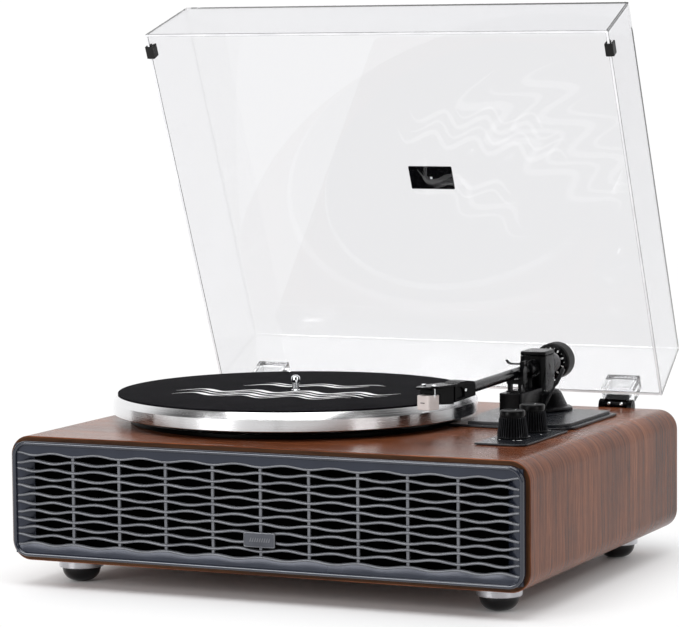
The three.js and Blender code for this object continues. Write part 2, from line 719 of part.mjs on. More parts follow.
// Clear pocket on the outside of the back wall that slips over the hinge leaf.
function lidSocket(name, x) {
  const { back, rim, height, draft } = LID;
  const wallAt = (z) => back - (draft * (z - rim)) / height + GAP;
  const side = [[wallAt(107), 107], [349.4, 107], [349.4, 126], [348, 127.5], [wallAt(127.5), 127.5]];
  return part(
    name,
    cut(sideways(side, x - 14.5, x + 14.5), box(x - 10.4, x + 10.4, 343.1, 346.9, 100, 125.4)),
    acrylic,
  );
}

function hingeLeaf(name, x) {
  const { y, z, leaf, barrel, pin } = HINGE;
  const plate = outline([
    [-leaf, 99.8], [leaf, 99.8], [leaf, 104], [leaf - 0.8, 112], [0.8 - leaf, 112], [-leaf, 104],
  ]);
  const tube = alongX(turned([[pin + GAP, -leaf], [barrel, -leaf], [barrel, leaf], [pin + GAP, leaf]], 20));
  return part(name, join(upright(plate, 343.5, 346.5), tube.translate(0, y, z)).translate(x, 0, 0), satinBlack);
}

// Screwed to the back of the cabinet; two ears hold the pin.
function hingeBracket(name, x) {
  const { y, z, ear, pin } = HINGE;
  const face = CABINET.depth + GAP;
  const cheek = [
    [face, 76], [347, 76], [354.6, 98.2], [354.9, 100.7], [353.4, 104.4], [349.7, 105.9], [346, 104.4],
    [344.5, 100.7], [face, 97],
  ];
  return part(
    name,
    join(
      box(-ear, ear, face, 346, 70, 94),
      sideways(cheek, -ear, -ear + 4.2),
      sideways(cheek, ear - 4.2, ear),
      alongX(drum(pin, -ear + 1, ear - 1, 12)).translate(0, y, z),
    ).translate(x, 0, 0),
    satinBlack,
  );
}

// Rubber clip over the rim, which the closed cover rests on.
function lidBumper(name, side) {
  const profile = [
    [202.3, 99.85], [209.5, 99.85], [209, 108], [207.5, 108], [207.5, 100.2], [203.9, 100.2], [203.9, 108],
    [202.3, 108],
  ];
  const points = profile.map(([x, z]) => [side * x, z]);
  return part(name, outward(upright(outline(points), 16, 27)), rubber);
}

const lidBadge = () =>
  part(
    "lid_badge",
    slab(roundedRect(40, 21.5, 1, 0, 171.5), LID.rim + LID.height + GAP, LID.rim + LID.height + 1.3, 0, 2),
    satinBlack,
  );

// ---- assembly ----------------------------------------------------------------------------------------
function headOfArm() {
  const group = new THREE.Group();
  group.add(headShell(), cartridgeBody(), stylusHolder(), stylusCantilever());
  group.position.set(0, -HEAD.start, 0);
  group.rotation.z = -HEAD.offset * DEG;
  return group;
}

function tonearm() {
  const group = new THREE.Group();
  group.add(cuePlatform(), armRest(), armLatch(), pivotBlock(), pivotCap(), armTube(), armCollar());
  group.add(weightShaft(), weightSleeve(), counterweight(), weightDial(), headOfArm());
  group.position.set(PIVOT.x, PIVOT.y, PIVOT.z);
  group.rotation.z = PIVOT.yaw * DEG;
  return group;
}

function openCover() {
  const drawn = new THREE.Group();
  drawn.add(dustCover(), lidBadge());
  for (const [side, word] of [[-1, "left"], [1, "right"]]) {
    drawn.add(lidSocket("lid_socket_" + word, side * HINGE.x), hingeLeaf("hinge_leaf_" + word, side * HINGE.x));
    drawn.add(lidBumper("lid_bumper_" + word, side));
  }
  drawn.position.set(0, -HINGE.y, -HINGE.z);
  const group = new THREE.Group();
  group.add(drawn);
  group.position.set(0, HINGE.y, HINGE.z);
  group.rotation.x = -LID.open * DEG;
  return group;
}

function recordPlayer() {
  const group = new THREE.Group();
  group.add(cabinetShell(), frontGrille(), grilleBadge(), speakerBaffle(), backPanel(), jackPanel());
  group.add(speakerDriver("speaker_driver_left", -120), speakerDriver("speaker_driver_right", 120));
  group.add(phonoSockets(), powerInlet(), amplifierBoard(), ...feet());
  group.add(platter(), slipMat(), spindle(), bearingHousing(), deckDisc(), driveBelt(), motorPulley(), motor());
  group.add(controlPlate(), knob("volume_knob", KNOB.front), knob("function_knob", KNOB.back), controlBoard());
  group.add(tonearmBasePlate(), pivotPedestal(), liftHousing(), cueLever(), tonearm());
  for (const [side, word] of [[-1, "left"], [1, "right"]]) {
    group.add(hingeBracket("hinge_bracket_" + word, side * HINGE.x));
  }
  group.add(openCover());
  return group;
}

// The origin is the middle of the footprint, on the table.
const player = recordPlayer();
const extent = new THREE.Box3().setFromObject(player, true);
const middle = extent.getCenter(new THREE.Vector3());
player.position.set(-middle.x, -middle.y, -extent.min.z);

const root = new THREE.Group();
root.name = "record_player";
root.add(player);

export default root;
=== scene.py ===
"""A record player: walnut cabinet with a wavy grille, brushed platter, black tonearm, clear cover."""
import math

import bmesh
import bpy
from mathutils import Matrix, Vector


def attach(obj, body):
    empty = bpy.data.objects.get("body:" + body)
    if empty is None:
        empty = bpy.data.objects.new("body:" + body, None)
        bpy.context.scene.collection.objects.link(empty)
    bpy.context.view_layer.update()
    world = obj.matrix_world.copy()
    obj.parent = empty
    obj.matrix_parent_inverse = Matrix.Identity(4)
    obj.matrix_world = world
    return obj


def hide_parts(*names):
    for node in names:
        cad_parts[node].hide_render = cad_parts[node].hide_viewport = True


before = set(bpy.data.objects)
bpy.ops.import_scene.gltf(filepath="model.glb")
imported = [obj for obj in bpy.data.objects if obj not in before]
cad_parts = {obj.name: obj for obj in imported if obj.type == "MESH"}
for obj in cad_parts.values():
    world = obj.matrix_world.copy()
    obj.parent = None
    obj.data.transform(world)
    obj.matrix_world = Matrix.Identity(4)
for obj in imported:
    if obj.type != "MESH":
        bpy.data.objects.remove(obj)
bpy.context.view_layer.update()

# ---- frames, as in the CAD: millimetres inside each piece, metres once it is placed ----
MM = 0.001
DEG = math.pi / 180


def shift(x, y, z):
    return Matrix.Translation((x * MM, y * MM, z * MM))


def spin(angle, axis):
    return Matrix.Rotation(angle * DEG, 4, axis)


CABINET = shift(0, -200.2752438, 20.5)
DISC = CABINET @ shift(-53, 176, 0)
ARM = CABINET @ shift(123.2, 272, 140) @ spin(3, "Z")
HEAD = ARM @ shift(0, -174, 0) @ spin(-22, "Z")
COVER = CABINET @ shift(0, 349.7, 100.7) @ spin(-66.2, "X") @ shift(0, -349.7, -100.7)
ALONG_Y = spin(-90, "X")  # a turned piece's axis laid along +Y
ALONG_X = spin(90, "Y")

# Seats: a frame, and the body that a piece there rides on.
FIXED, ROUND, LID = (CABINET, "cabinet"), (DISC, "turning_platter"), (COVER, "cover")
PIVOT, WAND, SHELL = (ARM, "arm_head"), (ARM, "tonearm"), (HEAD, "tonearm")
CARRIAGE, DIAL = (ARM, "weight_carriage"), (ARM, "turning_dial")


# ---- materials ----
def wired(tree, kind, values=None, **settings):
    """A new node with its settings, its inputs set or linked."""
    made = tree.nodes.new(kind)
    for key, value in settings.items():
        setattr(made, key, value)
    for key, value in (values or {}).items():
        socket = made.inputs[key]
        if isinstance(value, bpy.types.NodeSocket):
            tree.links.new(value, socket)
        else:
            socket.default_value = value
    return made


class Paint:
    """A node material with one Principled shader, and short names for the nodes that feed it."""

    def __init__(self, name, **values):
        self.material = bpy.data.materials.new(name)
        self.material.use_nodes = True
        self.tree = self.material.node_tree
        self.shader = self.tree.nodes["Principled BSDF"]
        for key, value in values.items():
            self.put(key.replace("_", " "), value)

    def put(self, key, value):
        socket = self.shader.inputs[key]
        if isinstance(value, bpy.types.NodeSocket):
            self.tree.links.new(value, socket)
        elif hasattr(socket.default_value, "__len__"):
            socket.default_value = (*value, 1.0)[: len(socket.default_value)]
        else:
            socket.default_value = value

    def node(self, kind, values=None, **settings):
        return wired(self.tree, kind, values, **settings)

    def place(self, scale=(1, 1, 1), kind="Object"):
        source = self.node("ShaderNodeTexCoord").outputs[kind]
        return self.node("ShaderNodeMapping", {"Vector": source, "Scale": scale}).outputs[0]

    def noise(self, vector, scale=1.0, detail=4.0, rough=0.5, twist=0.0):
        values = {"Vector": vector, "Scale": scale, "Detail": detail, "Roughness": rough, "Distortion": twist}
        return self.node("ShaderNodeTexNoise", values).outputs[0]

    def math(self, operation, a, b=0.0, c=0.0):
        return self.node("ShaderNodeMath", {0: a, 1: b, 2: c}, operation=operation).outputs[0]

    def ramp(self, factor, stops):
        made = self.node("ShaderNodeValToRGB", {0: factor})
        marks = made.color_ramp.elements
        while len(marks) < len(stops):
            marks.new(0.5)
        for mark, (position, colour) in zip(marks, stops):
            mark.position = position
            mark.color = (*colour, 1.0)
        return made.outputs[0]

    def colour(self, factor, stops):
        self.put("Base Color", self.ramp(factor, stops))

    def span(self, factor, low, high, start=0.0, end=1.0):
        values = {"Value": factor, "From Min": start, "From Max": end, "To Min": low, "To Max": high}
        return self.node("ShaderNodeMapRange", values).outputs[0]

    def mix(self, factor, a, b, blend="MIX"):
        values = {0: factor, 6: a, 7: b}  # the colour sockets of the node
        return self.node("ShaderNodeMix", values, data_type="RGBA", blend_type=blend).outputs[2]

    def bump(self, height, distance, strength=1.0):
        values = {"Height": height, "Distance": distance, "Strength": strength}
        self.put("Normal", self.node("ShaderNodeBump", values).outputs[0])

    def blend(self, factor, other):
        """Mixes another shader over the Principled one."""
        both = self.node("ShaderNodeMixShader", {0: factor, 1: self.shader.outputs[0], 2: other}).outputs[0]
        self.tree.links.new(both, self.tree.nodes["Material Output"].inputs[0])


def grey(level):
    return level, level, level


def speckled(name, dark, light, rough, spread, grain, depth, shine=0.5, **values):
    """A moulded or coated surface: faint mottling, uneven gloss and a fine grain."""
    paint = Paint(name, Specular_IOR_Level=shine, **values)
    at = paint.place()
    cloud = paint.noise(at, 60, 3)
    paint.colour(cloud, [(0.3, dark), (0.7, light)])
    paint.put("Roughness", paint.span(paint.noise(at, 25, 5), rough - spread, rough + spread, 0.3, 0.7))
    paint.bump(paint.noise(at, grain, 2), depth)
    return paint.material


def walnut(name, colours, rough):
    """Veneer whose grain runs along u, with broad figure, streaks and fine pores."""
    paint = Paint(name)
    figure = paint.noise(paint.place((2.5, 17, 1), "UV"), 1, 3, 0.5, 1.4)
    streak = paint.noise(paint.place((9, 300, 1), "UV"), 1, 7, 0.7, 0.4)
    pores = paint.noise(paint.place((60, 1300, 1), "UV"), 1, 3, 0.6)
    both = paint.math("ADD", paint.math("MULTIPLY", figure, 0.34), paint.math("MULTIPLY", streak, 0.66))
    tone = paint.ramp(both, colours)
    speck = paint.ramp(pores, [(0.36, (0.45, 0.4, 0.37)), (0.5, (1, 1, 1))])
    paint.put("Base Color", paint.mix(0.75, tone, speck, "MULTIPLY"))
    paint.put("Roughness", paint.span(streak, rough - 0.06, rough + 0.1, 0.3, 0.7))
    paint.put("Specular IOR Level", 0.09)
    paint.bump(paint.math("ADD", pores, paint.math("MULTIPLY", streak, 0.6)), 1.2e-4, 0.6)
    return paint.material


def turned_metal(name, colour, rough, line, depth):
    """Metal turned on a lathe: fine rings round the piece's own axis."""
    paint = Paint(name, Metallic=1.0, Anisotropic=0.85, Anisotropic_Rotation=0.25)
    at = paint.place()
    parts = paint.node("ShaderNodeSeparateXYZ", {0: at}).outputs
    flat = paint.place((1, 1, 0))
    radius = paint.node("ShaderNodeVectorMath", {0: flat}, operation="LENGTH").outputs["Value"]
    angle = paint.math("ARCTAN2", parts[1], parts[0])
    rings = paint.node("ShaderNodeCombineXYZ", {0: paint.math("MULTIPLY", radius, line),
                                                1: paint.math("MULTIPLY", parts[2], line),
                                                2: paint.math("MULTIPLY", angle, 1.2)}).outputs[0]
    lines = paint.noise(rings, 1, 2, 0.6)
    paint.colour(lines, [(0.25, [c * 0.86 for c in colour]), (0.75, colour)])
    paint.put("Roughness", paint.span(lines, rough - 0.06, rough + 0.08, 0.3, 0.7))
    paint.put("Tangent", paint.node("ShaderNodeTangent", direction_type="RADIAL", axis="Z").outputs[0])
    paint.bump(lines, depth)
    return paint.material


def fluted(flutes):
    """Knob plastic: black in the grooves, with a painted highlight on the crests of the flutes, which are
    glossier there too.
    """
    paint = Paint("knob_black", Specular_IOR_Level=0.12)
    at = paint.place()
    parts = paint.node("ShaderNodeSeparateXYZ", {0: at}).outputs
    turn = paint.math("MULTIPLY", paint.math("ARCTAN2", parts[1], parts[0]), flutes / 2)
    crest = paint.math("SUBTRACT", 1.0, paint.math("ABSOLUTE", paint.math("SINE", turn)))
    crest = paint.math("MULTIPLY", crest, paint.math("LESS_THAN", parts[2], 0.0163))
    # The pale crests below the cap are a painted highlight; a little random mottling is added to it.
    crest_highlight_and_mottle = paint.math("ADD", crest, paint.math("MULTIPLY", paint.noise(at, 900, 3), 0.3))
    paint.colour(crest_highlight_and_mottle, [(0.72, (0.001, 0.001, 0.0012)), (1.0, (0.028, 0.029, 0.033))])
    paint.put("Roughness", paint.span(crest_highlight_and_mottle, 0.3, 0.14, 0.4, 1.1))
    paint.bump(paint.noise(at, 2500, 2), 6e-6)
    return paint.material


def felt():
    """Slip mat: dark short-pile felt."""
    paint = Paint("mat_felt", Roughness=1.0, Specular_IOR_Level=0.05)
    at = paint.place()
    fibres = paint.noise(at, 1400, 3, 0.7)
    cloud = paint.noise(at, 30, 4, 0.6)
    both = paint.math("ADD", paint.math("MULTIPLY", fibres, 0.7), paint.math("MULTIPLY", cloud, 0.3))
    paint.colour(both, [(0.35, (0.003, 0.003, 0.004)), (0.7, (0.012, 0.0115, 0.0135))])
    paint.bump(fibres, 0.0003, 0.6)
    return paint.material


def sawn():
    """The cut edge of the cover: polished, milky and half see-through, with a faint white painted glow that
    lightens it.
    """
    paint = Paint("sawn_acrylic_glow", Roughness=0.12, Alpha=0.8, Emission_Color=(1, 1, 1), Emission_Strength=0.45)
    at = paint.place((40, 40, 40))
    paint.colour(paint.noise(at, 1, 4), [(0.3, (0.62, 0.62, 0.65)), (0.7, (0.85, 0.85, 0.87))])
    return paint.material


def clear(name, tint=(0.985, 0.99, 0.99)):
    """Clear acrylic that refracts, with faint polishing haze; lamps shine through it."""
    paint = Paint(name, Transmission_Weight=1.0, IOR=1.49, Base_Color=tint)
    smear = paint.noise(paint.place((6, 6, 6)), 1, 3)
    paint.put("Roughness", paint.span(smear, 0.0, 0.015, 0.45, 0.8))
    passed = paint.node("ShaderNodeBsdfTransparent", {0: (0.97, 0.97, 0.975, 1)}).outputs[0]
    kind = paint.node("ShaderNodeLightPath").outputs["Is Shadow Ray"]
    paint.blend(kind, passed)
    return paint.material


BROWNS = [(0.3, (0.03, 0.008, 0.003)), (0.43, (0.098, 0.028, 0.011)), (0.53, (0.19, 0.058, 0.023)),
          (0.68, (0.33, 0.12, 0.052))]
EDGE_BROWNS = [(0.3, (0.022, 0.008, 0.003)), (0.5, (0.062, 0.025, 0.01)), (0.7, (0.13, 0.056, 0.023))]
VENEER = walnut("walnut_veneer", BROWNS, 0.18)
EDGE_BAND = walnut("walnut_edge", EDGE_BROWNS, 0.4)
SLATE = speckled("slate_paint", (0.018, 0.022, 0.036), (0.023, 0.028, 0.044), 0.24, 0.04, 2600, 8e-6,
                 Metallic=0.3)
SLATE_RIM = speckled("slate_rim", (0.014, 0.018, 0.03), (0.019, 0.023, 0.038), 0.15, 0.03, 2600, 4e-6,
                     Metallic=0.3, Coat_Weight=0.7, Coat_Roughness=0.08)
BAR_GREY = speckled("grille_bars", (0.12, 0.125, 0.14), (0.16, 0.165, 0.18), 0.34, 0.05, 2600, 8e-6,
                    Metallic=0.3)
SATIN_BLACK = speckled("satin_black", (0.0007, 0.0007, 0.0009), (0.0016, 0.0016, 0.002), 0.19, 0.05, 3000,
                       6e-6, shine=0.085)
PLATE_BLACK = speckled("plate_black", (0.009, 0.01, 0.013), (0.011, 0.012, 0.015), 0.25, 0.015, 3500,
                       8e-6, shine=0.35)
GLOSS_BLACK = speckled("gloss_black", (0.002, 0.002, 0.0025), (0.004, 0.004, 0.005), 0.12, 0.04, 900,
                       6e-6, shine=0.35)
ARM_BLACK = speckled("arm_black", (0.001, 0.001, 0.0012), (0.002, 0.002, 0.0025), 0.16, 0.04, 4000, 4e-6,
                     shine=0.14)
RUBBER = speckled("black_rubber", grey(0.004), grey(0.008), 0.5, 0.08, 2200, 6e-5, shine=0.3)
# Black without any sheen for the baffle and drivers behind the grille: partly their own black, partly painted
# shade inside the cabinet. The reflection cards use it too.
SHADOW_BLACK = speckled("baffle_and_shade_black", grey(0.001), grey(0.002), 0.9, 0.05, 1800, 1e-4, shine=0.0)
# The disc under the platter: black of its own, made darker and duller still as painted shade from the platter
# above it.
DECK_SHADE_BLACK = speckled("deck_black_and_shade", grey(0.001), grey(0.002), 0.35, 0.05, 1500, 2e-5, shine=0.04)
BOARD = speckled("painted_board", (0.012, 0.011, 0.01), (0.025, 0.023, 0.021), 0.75, 0.1, 900, 1.5e-4)
IVORY = speckled("ivory_plastic", (0.6, 0.54, 0.52), (0.68, 0.62, 0.6), 0.4, 0.06, 2000, 3e-5)
WHITE_INK = speckled("white_ink", grey(0.8), grey(0.9), 0.5, 0.05, 3000, 1e-5)
GREY_INK = speckled("grey_ink", (0.25, 0.25, 0.26), (0.36, 0.36, 0.37), 0.5, 0.05, 3000, 1e-5)
GREEN = speckled("board_green", (0.01, 0.06, 0.025), (0.018, 0.1, 0.04), 0.4, 0.08, 700, 1e-4)
TURNED = turned_metal("turned_aluminium", (0.86, 0.86, 0.87), 0.2, 9000, 4e-6)
FOOT_METAL = turned_metal("foot_aluminium", (0.62, 0.62, 0.65), 0.32, 6000, 2e-5)
CHROME = speckled("chrome", (0.7, 0.71, 0.73), (0.8, 0.81, 0.83), 0.12, 0.04, 900, 5e-6, Metallic=1.0)
BADGE_METAL = speckled("badge_metal", (0.06, 0.063, 0.075), (0.085, 0.09, 0.105), 0.34, 0.05, 5000, 2e-5,
                       Metallic=0.6)
BRASS = speckled("brass", (0.6, 0.42, 0.13), (0.72, 0.52, 0.18), 0.24, 0.05, 900, 1e-5, Metallic=1.0)
FLUTES = 34  # round each knob
KNOB_BLACK = fluted(FLUTES)
FELT = felt()
ACRYLIC = clear("clear_acrylic", (0.878, 0.878, 0.892))
POCKET = clear("pocket_acrylic")
ACRYLIC_EDGE_GLOW = sawn()


# ---- shapes, in millimetres ----
def arc(cx, cy, radius, start, end, steps):
    turns = [start + (end - start) * i / steps for i in range(steps + 1)]
    return [(cx + radius * math.cos(t * DEG), cy + radius * math.sin(t * DEG)) for t in turns]


def rounded_rect(width, height, radius, cx=0.0, cy=0.0, steps=10):
    w, h = width / 2 - radius, height / 2 - radius
    points = []
    for sx, sy, start in ((1, -1, -90), (1, 1, 0), (-1, 1, 90), (-1, -1, 180)):
        points += arc(cx + sx * w, cy + sy * h, radius, start, start + 90, steps)
    return points


def eased(points, radius, steps=4, closed=True):
    """The same outline with its corners rounded."""
    count = len(points)
    made = []
    for i, point in enumerate(points):
        end = not closed and i in (0, count - 1)
        here, before, after = Vector(point), Vector(points[i - 1]), Vector(points[(i + 1) % count])
        a, b = before - here, after - here
        if end or a.length < 1e-6 or b.length < 1e-6 or abs(a.angle(b) - math.pi) < 0.08:
            made.append(tuple(point))
            continue
        cut = min(radius / math.tan(a.angle(b) / 2), a.length * 0.45, b.length * 0.45)
        first, last = here + a.normalized() * cut, here + b.normalized() * cut
        for k in range(steps + 1):
            t = k / steps
            made.append(tuple(first * (1 - t) ** 2 + here * 2 * t * (1 - t) + last * t * t))
    return made


def lathe(profile, sides=96, ease=0.0):
    """A profile of (radius, z) turned about Z. It starts and ends on the axis, or closes on itself."""
    bm = bmesh.new()
    on_axis = profile[0][0] == 0
    points = eased(profile, ease, 3, closed=not on_axis) if ease else profile
    turns = [2 * math.pi * i / sides for i in range(sides)]
    rings = []
    for r, z in points:
        if r < 1e-6:
            rings.append([bm.verts.new((0, 0, z))])
        else:
            rings.append([bm.verts.new((r * math.cos(t), r * math.sin(t), z)) for t in turns])
    for a, b in zip(rings, rings[1:] if on_axis else rings[1:] + rings[:1]):
        for i in range(sides):
            j = (i + 1) % sides
            corners = [a[i % len(a)], a[j % len(a)], b[j % len(b)], b[i % len(b)]]
            corners = [v for k, v in enumerate(corners) if v not in corners[:k]]
            if len(corners) > 2:
                bm.faces.new(corners)
    return bm


def stretched(outline, axis, start, end, shape):
    """An outline between two places along an axis, capped at both ends."""
    bm = shape or bmesh.new()
    near, far = ([bm.verts.new((*p[:axis], at, *p[axis:])) for p in outline] for at in (start, end))
    bm.faces.new(near)
    bm.faces.new(list(reversed(far)))
    for i in range(len(near)):
        j = (i + 1) % len(near)
        bm.faces.new((near[j], near[i], far[i], far[j]))
    return bm


def prism(outline, low, high, shape=None):
    """An outline in X and Y between two heights."""
    return stretched(outline, 2, low, high, shape)


def upright(outline, front, back, shape=None):
    """An outline in X and Z between two depths."""
    return stretched(outline, 1, front, back, shape)


def sideways(outline, left, right, shape=None):
    """An outline in Y and Z between two places across."""
    return stretched(outline, 0, left, right, shape)


def block(x0, x1, y0, y1, z0, z1, shape=None):
    return prism([(x0, y0), (x1, y0), (x1, y1), (x0, y1)], z0, z1, shape)


def skinned(pairs, bm, material=0):
    """The faces between each pair of closed rings, pair by pair."""
    for a, b in pairs:
        for i in range(len(a)):
            j = (i + 1) % len(a)
            bm.faces.new((a[i], a[j], b[j], b[i])).material_index = material


def strips(rows, bm):
    """The faces between rows of points that stay open."""
    for a, b in zip(rows, rows[1:]):
        for k in range(len(a) - 1):
            bm.faces.new((a[k], b[k], b[k + 1], a[k + 1]))


def loft(rings):
    """Rings of the same number of points, skinned and capped."""
    bm = bmesh.new()
    made = [[bm.verts.new(p) for p in ring] for ring in rings]
    skinned(zip(made, made[1:]), bm)
    bm.faces.new(list(reversed(made[0])))
    bm.faces.new(made[-1])
    return bm


def moved(bm, matrix):
    """A shape turned and shifted, in millimetres."""
    scaled = matrix.copy()
    scaled.translation = matrix.translation / MM
    bm.transform(scaled)
    return bm


def turned(profile, matrix, sides=96, ease=0.0):
    """A lathed shape, turned and shifted."""
    return moved(lathe(profile, sides, ease), matrix)


def added(*shapes):
    """Several shapes in one."""
    first = shapes[0]
    for other in shapes[1:]:
        mesh = meshed("part", other)
        first.from_mesh(mesh)
        bpy.data.meshes.remove(mesh)
    return first


# ---- pieces ----
def meshed(name, bm):
    """A mesh from a shape, which is used up."""
    mesh = bpy.data.meshes.new(name)
    bm.to_mesh(mesh)
    bm.free()
    return mesh


def linked(name, data):
    """A new object in the scene."""
    obj = bpy.data.objects.new(name, data)
    bpy.context.scene.collection.objects.link(obj)
    return obj


def piece(name, bm, seat, materials, node=None, bevel=0.0, angle=35, segments=2):
    """One object: the shape scaled to metres, placed, shaded, bevelled and tied to its body."""
    where, body = seat
    bmesh.ops.recalc_face_normals(bm, faces=bm.faces)
    bm.transform(Matrix.Scale(MM, 4))
    mesh = meshed(name, bm)
    mesh.shade_smooth()
    mesh.set_sharp_from_angle(angle=angle * DEG)
    obj = linked(name, mesh)
    for material in materials if isinstance(materials, list) else [materials]:
        mesh.materials.append(material)
    obj.matrix_world = where
    if bevel:
        edge = obj.modifiers.new("edges", "BEVEL")
        edge.width = bevel * MM
        edge.segments = segments
        edge.limit_method = "ANGLE"
        edge.angle_limit = angle * DEG
        edge.harden_normals = True
    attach(obj, body)
    if node:
        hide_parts(node)
    return obj


def built(obj):
    """The mesh that an object's modifiers or curve give."""
    bpy.context.view_layer.update()
    return bpy.data.meshes.new_from_object(obj.evaluated_get(bpy.context.evaluated_depsgraph_get()))


def carve(obj, tool):
    """Cuts a shape, in the object's own millimetres, out of it before it is bevelled."""
    tool.transform(Matrix.Scale(MM, 4))
    bmesh.ops.recalc_face_normals(tool, faces=tool.faces)
    cutter = linked("tool", meshed("tool", tool))
    cutter.matrix_world = obj.matrix_world
    others = list(obj.modifiers)
    step = obj.modifiers.new("cut", "BOOLEAN")
    step.object = cutter
    step.solver = "EXACT"
    for other in others:
        other.show_viewport = False
    obj.data = built(obj)
    obj.modifiers.remove(step)
    for other in others:
        other.show_viewport = True
    obj.data.shade_smooth()
    obj.data.set_sharp_from_angle(angle=35 * DEG)
    bpy.data.objects.remove(cutter)


WIDE, DEEP, TOP, MIDDLE = 442, 343, 99.5, 49.75  # the wooden box, and the height of its middle


def cabinet():
    """Veneer wrapped round a rounded box: u runs round the wrap and v from front to back."""
    bm = bmesh.new()
    uv = bm.loops.layers.uv.new("wrap")
    steps, bevel = 14, 0.6
    outer = rounded_rect(WIDE, TOP, 16, 0, MIDDLE, steps)
    inset = rounded_rect(WIDE - 2 * bevel, TOP - 2 * bevel, 16 - bevel, 0, MIDDLE, steps)
    inner = rounded_rect(WIDE - 24, TOP - 24, 5, 0, MIDDLE, steps)
    loops = [(inner, 14.0), (inner, 0.0), (inset, 0.0), (outer, bevel), (outer, DEEP - bevel), (inset, DEEP),
             (inner, DEEP), (inner, 330)]
    lengths = [0.0]
    for a, b in zip(outer, outer[1:] + outer[:1]):
        lengths.append(lengths[-1] + math.dist(a, b))
    rings = [[bm.verts.new((x, y, z)) for x, z in ring] for ring, y in loops]
    across = [-16, -2, 10, 11, 353, 354, 366, 380]
    for k, (a, b) in enumerate(zip(rings, rings[1:])):
        for i in range(len(outer)):
            j = (i + 1) % len(outer)
            face = bm.faces.new((a[i], a[j], b[j], b[i]))
            face.material_index = (2, 1, 0, 0, 0, 1, 2)[k]
            for loop, (u, v) in zip(face.loops, ((i, k), (i + 1, k), (i + 1, k + 1), (i, k + 1))):
                loop[uv].uv = (lengths[u] * MM, across[v] * MM)
    piece("cabinet_wrap", bm, FIXED, [VENEER, EDGE_BAND, BOARD], "cabinet_shell")


# The grille's lines: ribs one wave apart, a narrower last opening, then half a wave to the frame.
BARS, PITCH, WAVE, SWING, BAR = 12, 6.55, 41.0, 1.0, 2.1
RIBS = [k * WAVE for k in range(-4, 5)]
LAST, FRAME_END = 199.2, 213.4


def wave_height(index, x):
    """The height of a bar's middle at x; neighbours swing in opposite ways."""
    side = 1 if index % 2 else -1
    first = MIDDLE + PITCH * (BARS - 1) / 2
    a = abs(x)
    if a <= 4 * WAVE:
        share = a / WAVE
    elif a <= LAST:
        share = (a - 4 * WAVE) / (LAST - 4 * WAVE)
    else:
        share = 0.5 * (a - LAST) / (FRAME_END - LAST)
    return first - index * PITCH + side * SWING * math.cos(2 * math.pi * share)


def framed(width, height, middle, steps, levels, bm):
    """A rounded rectangle of points at each (inset, corner, depth)."""
    return [[bm.verts.new((x, y, z)) for x, z in
             rounded_rect(width - 2 * inset, height - 2 * inset, corner, 0, middle, steps)]
            for inset, corner, y in levels]


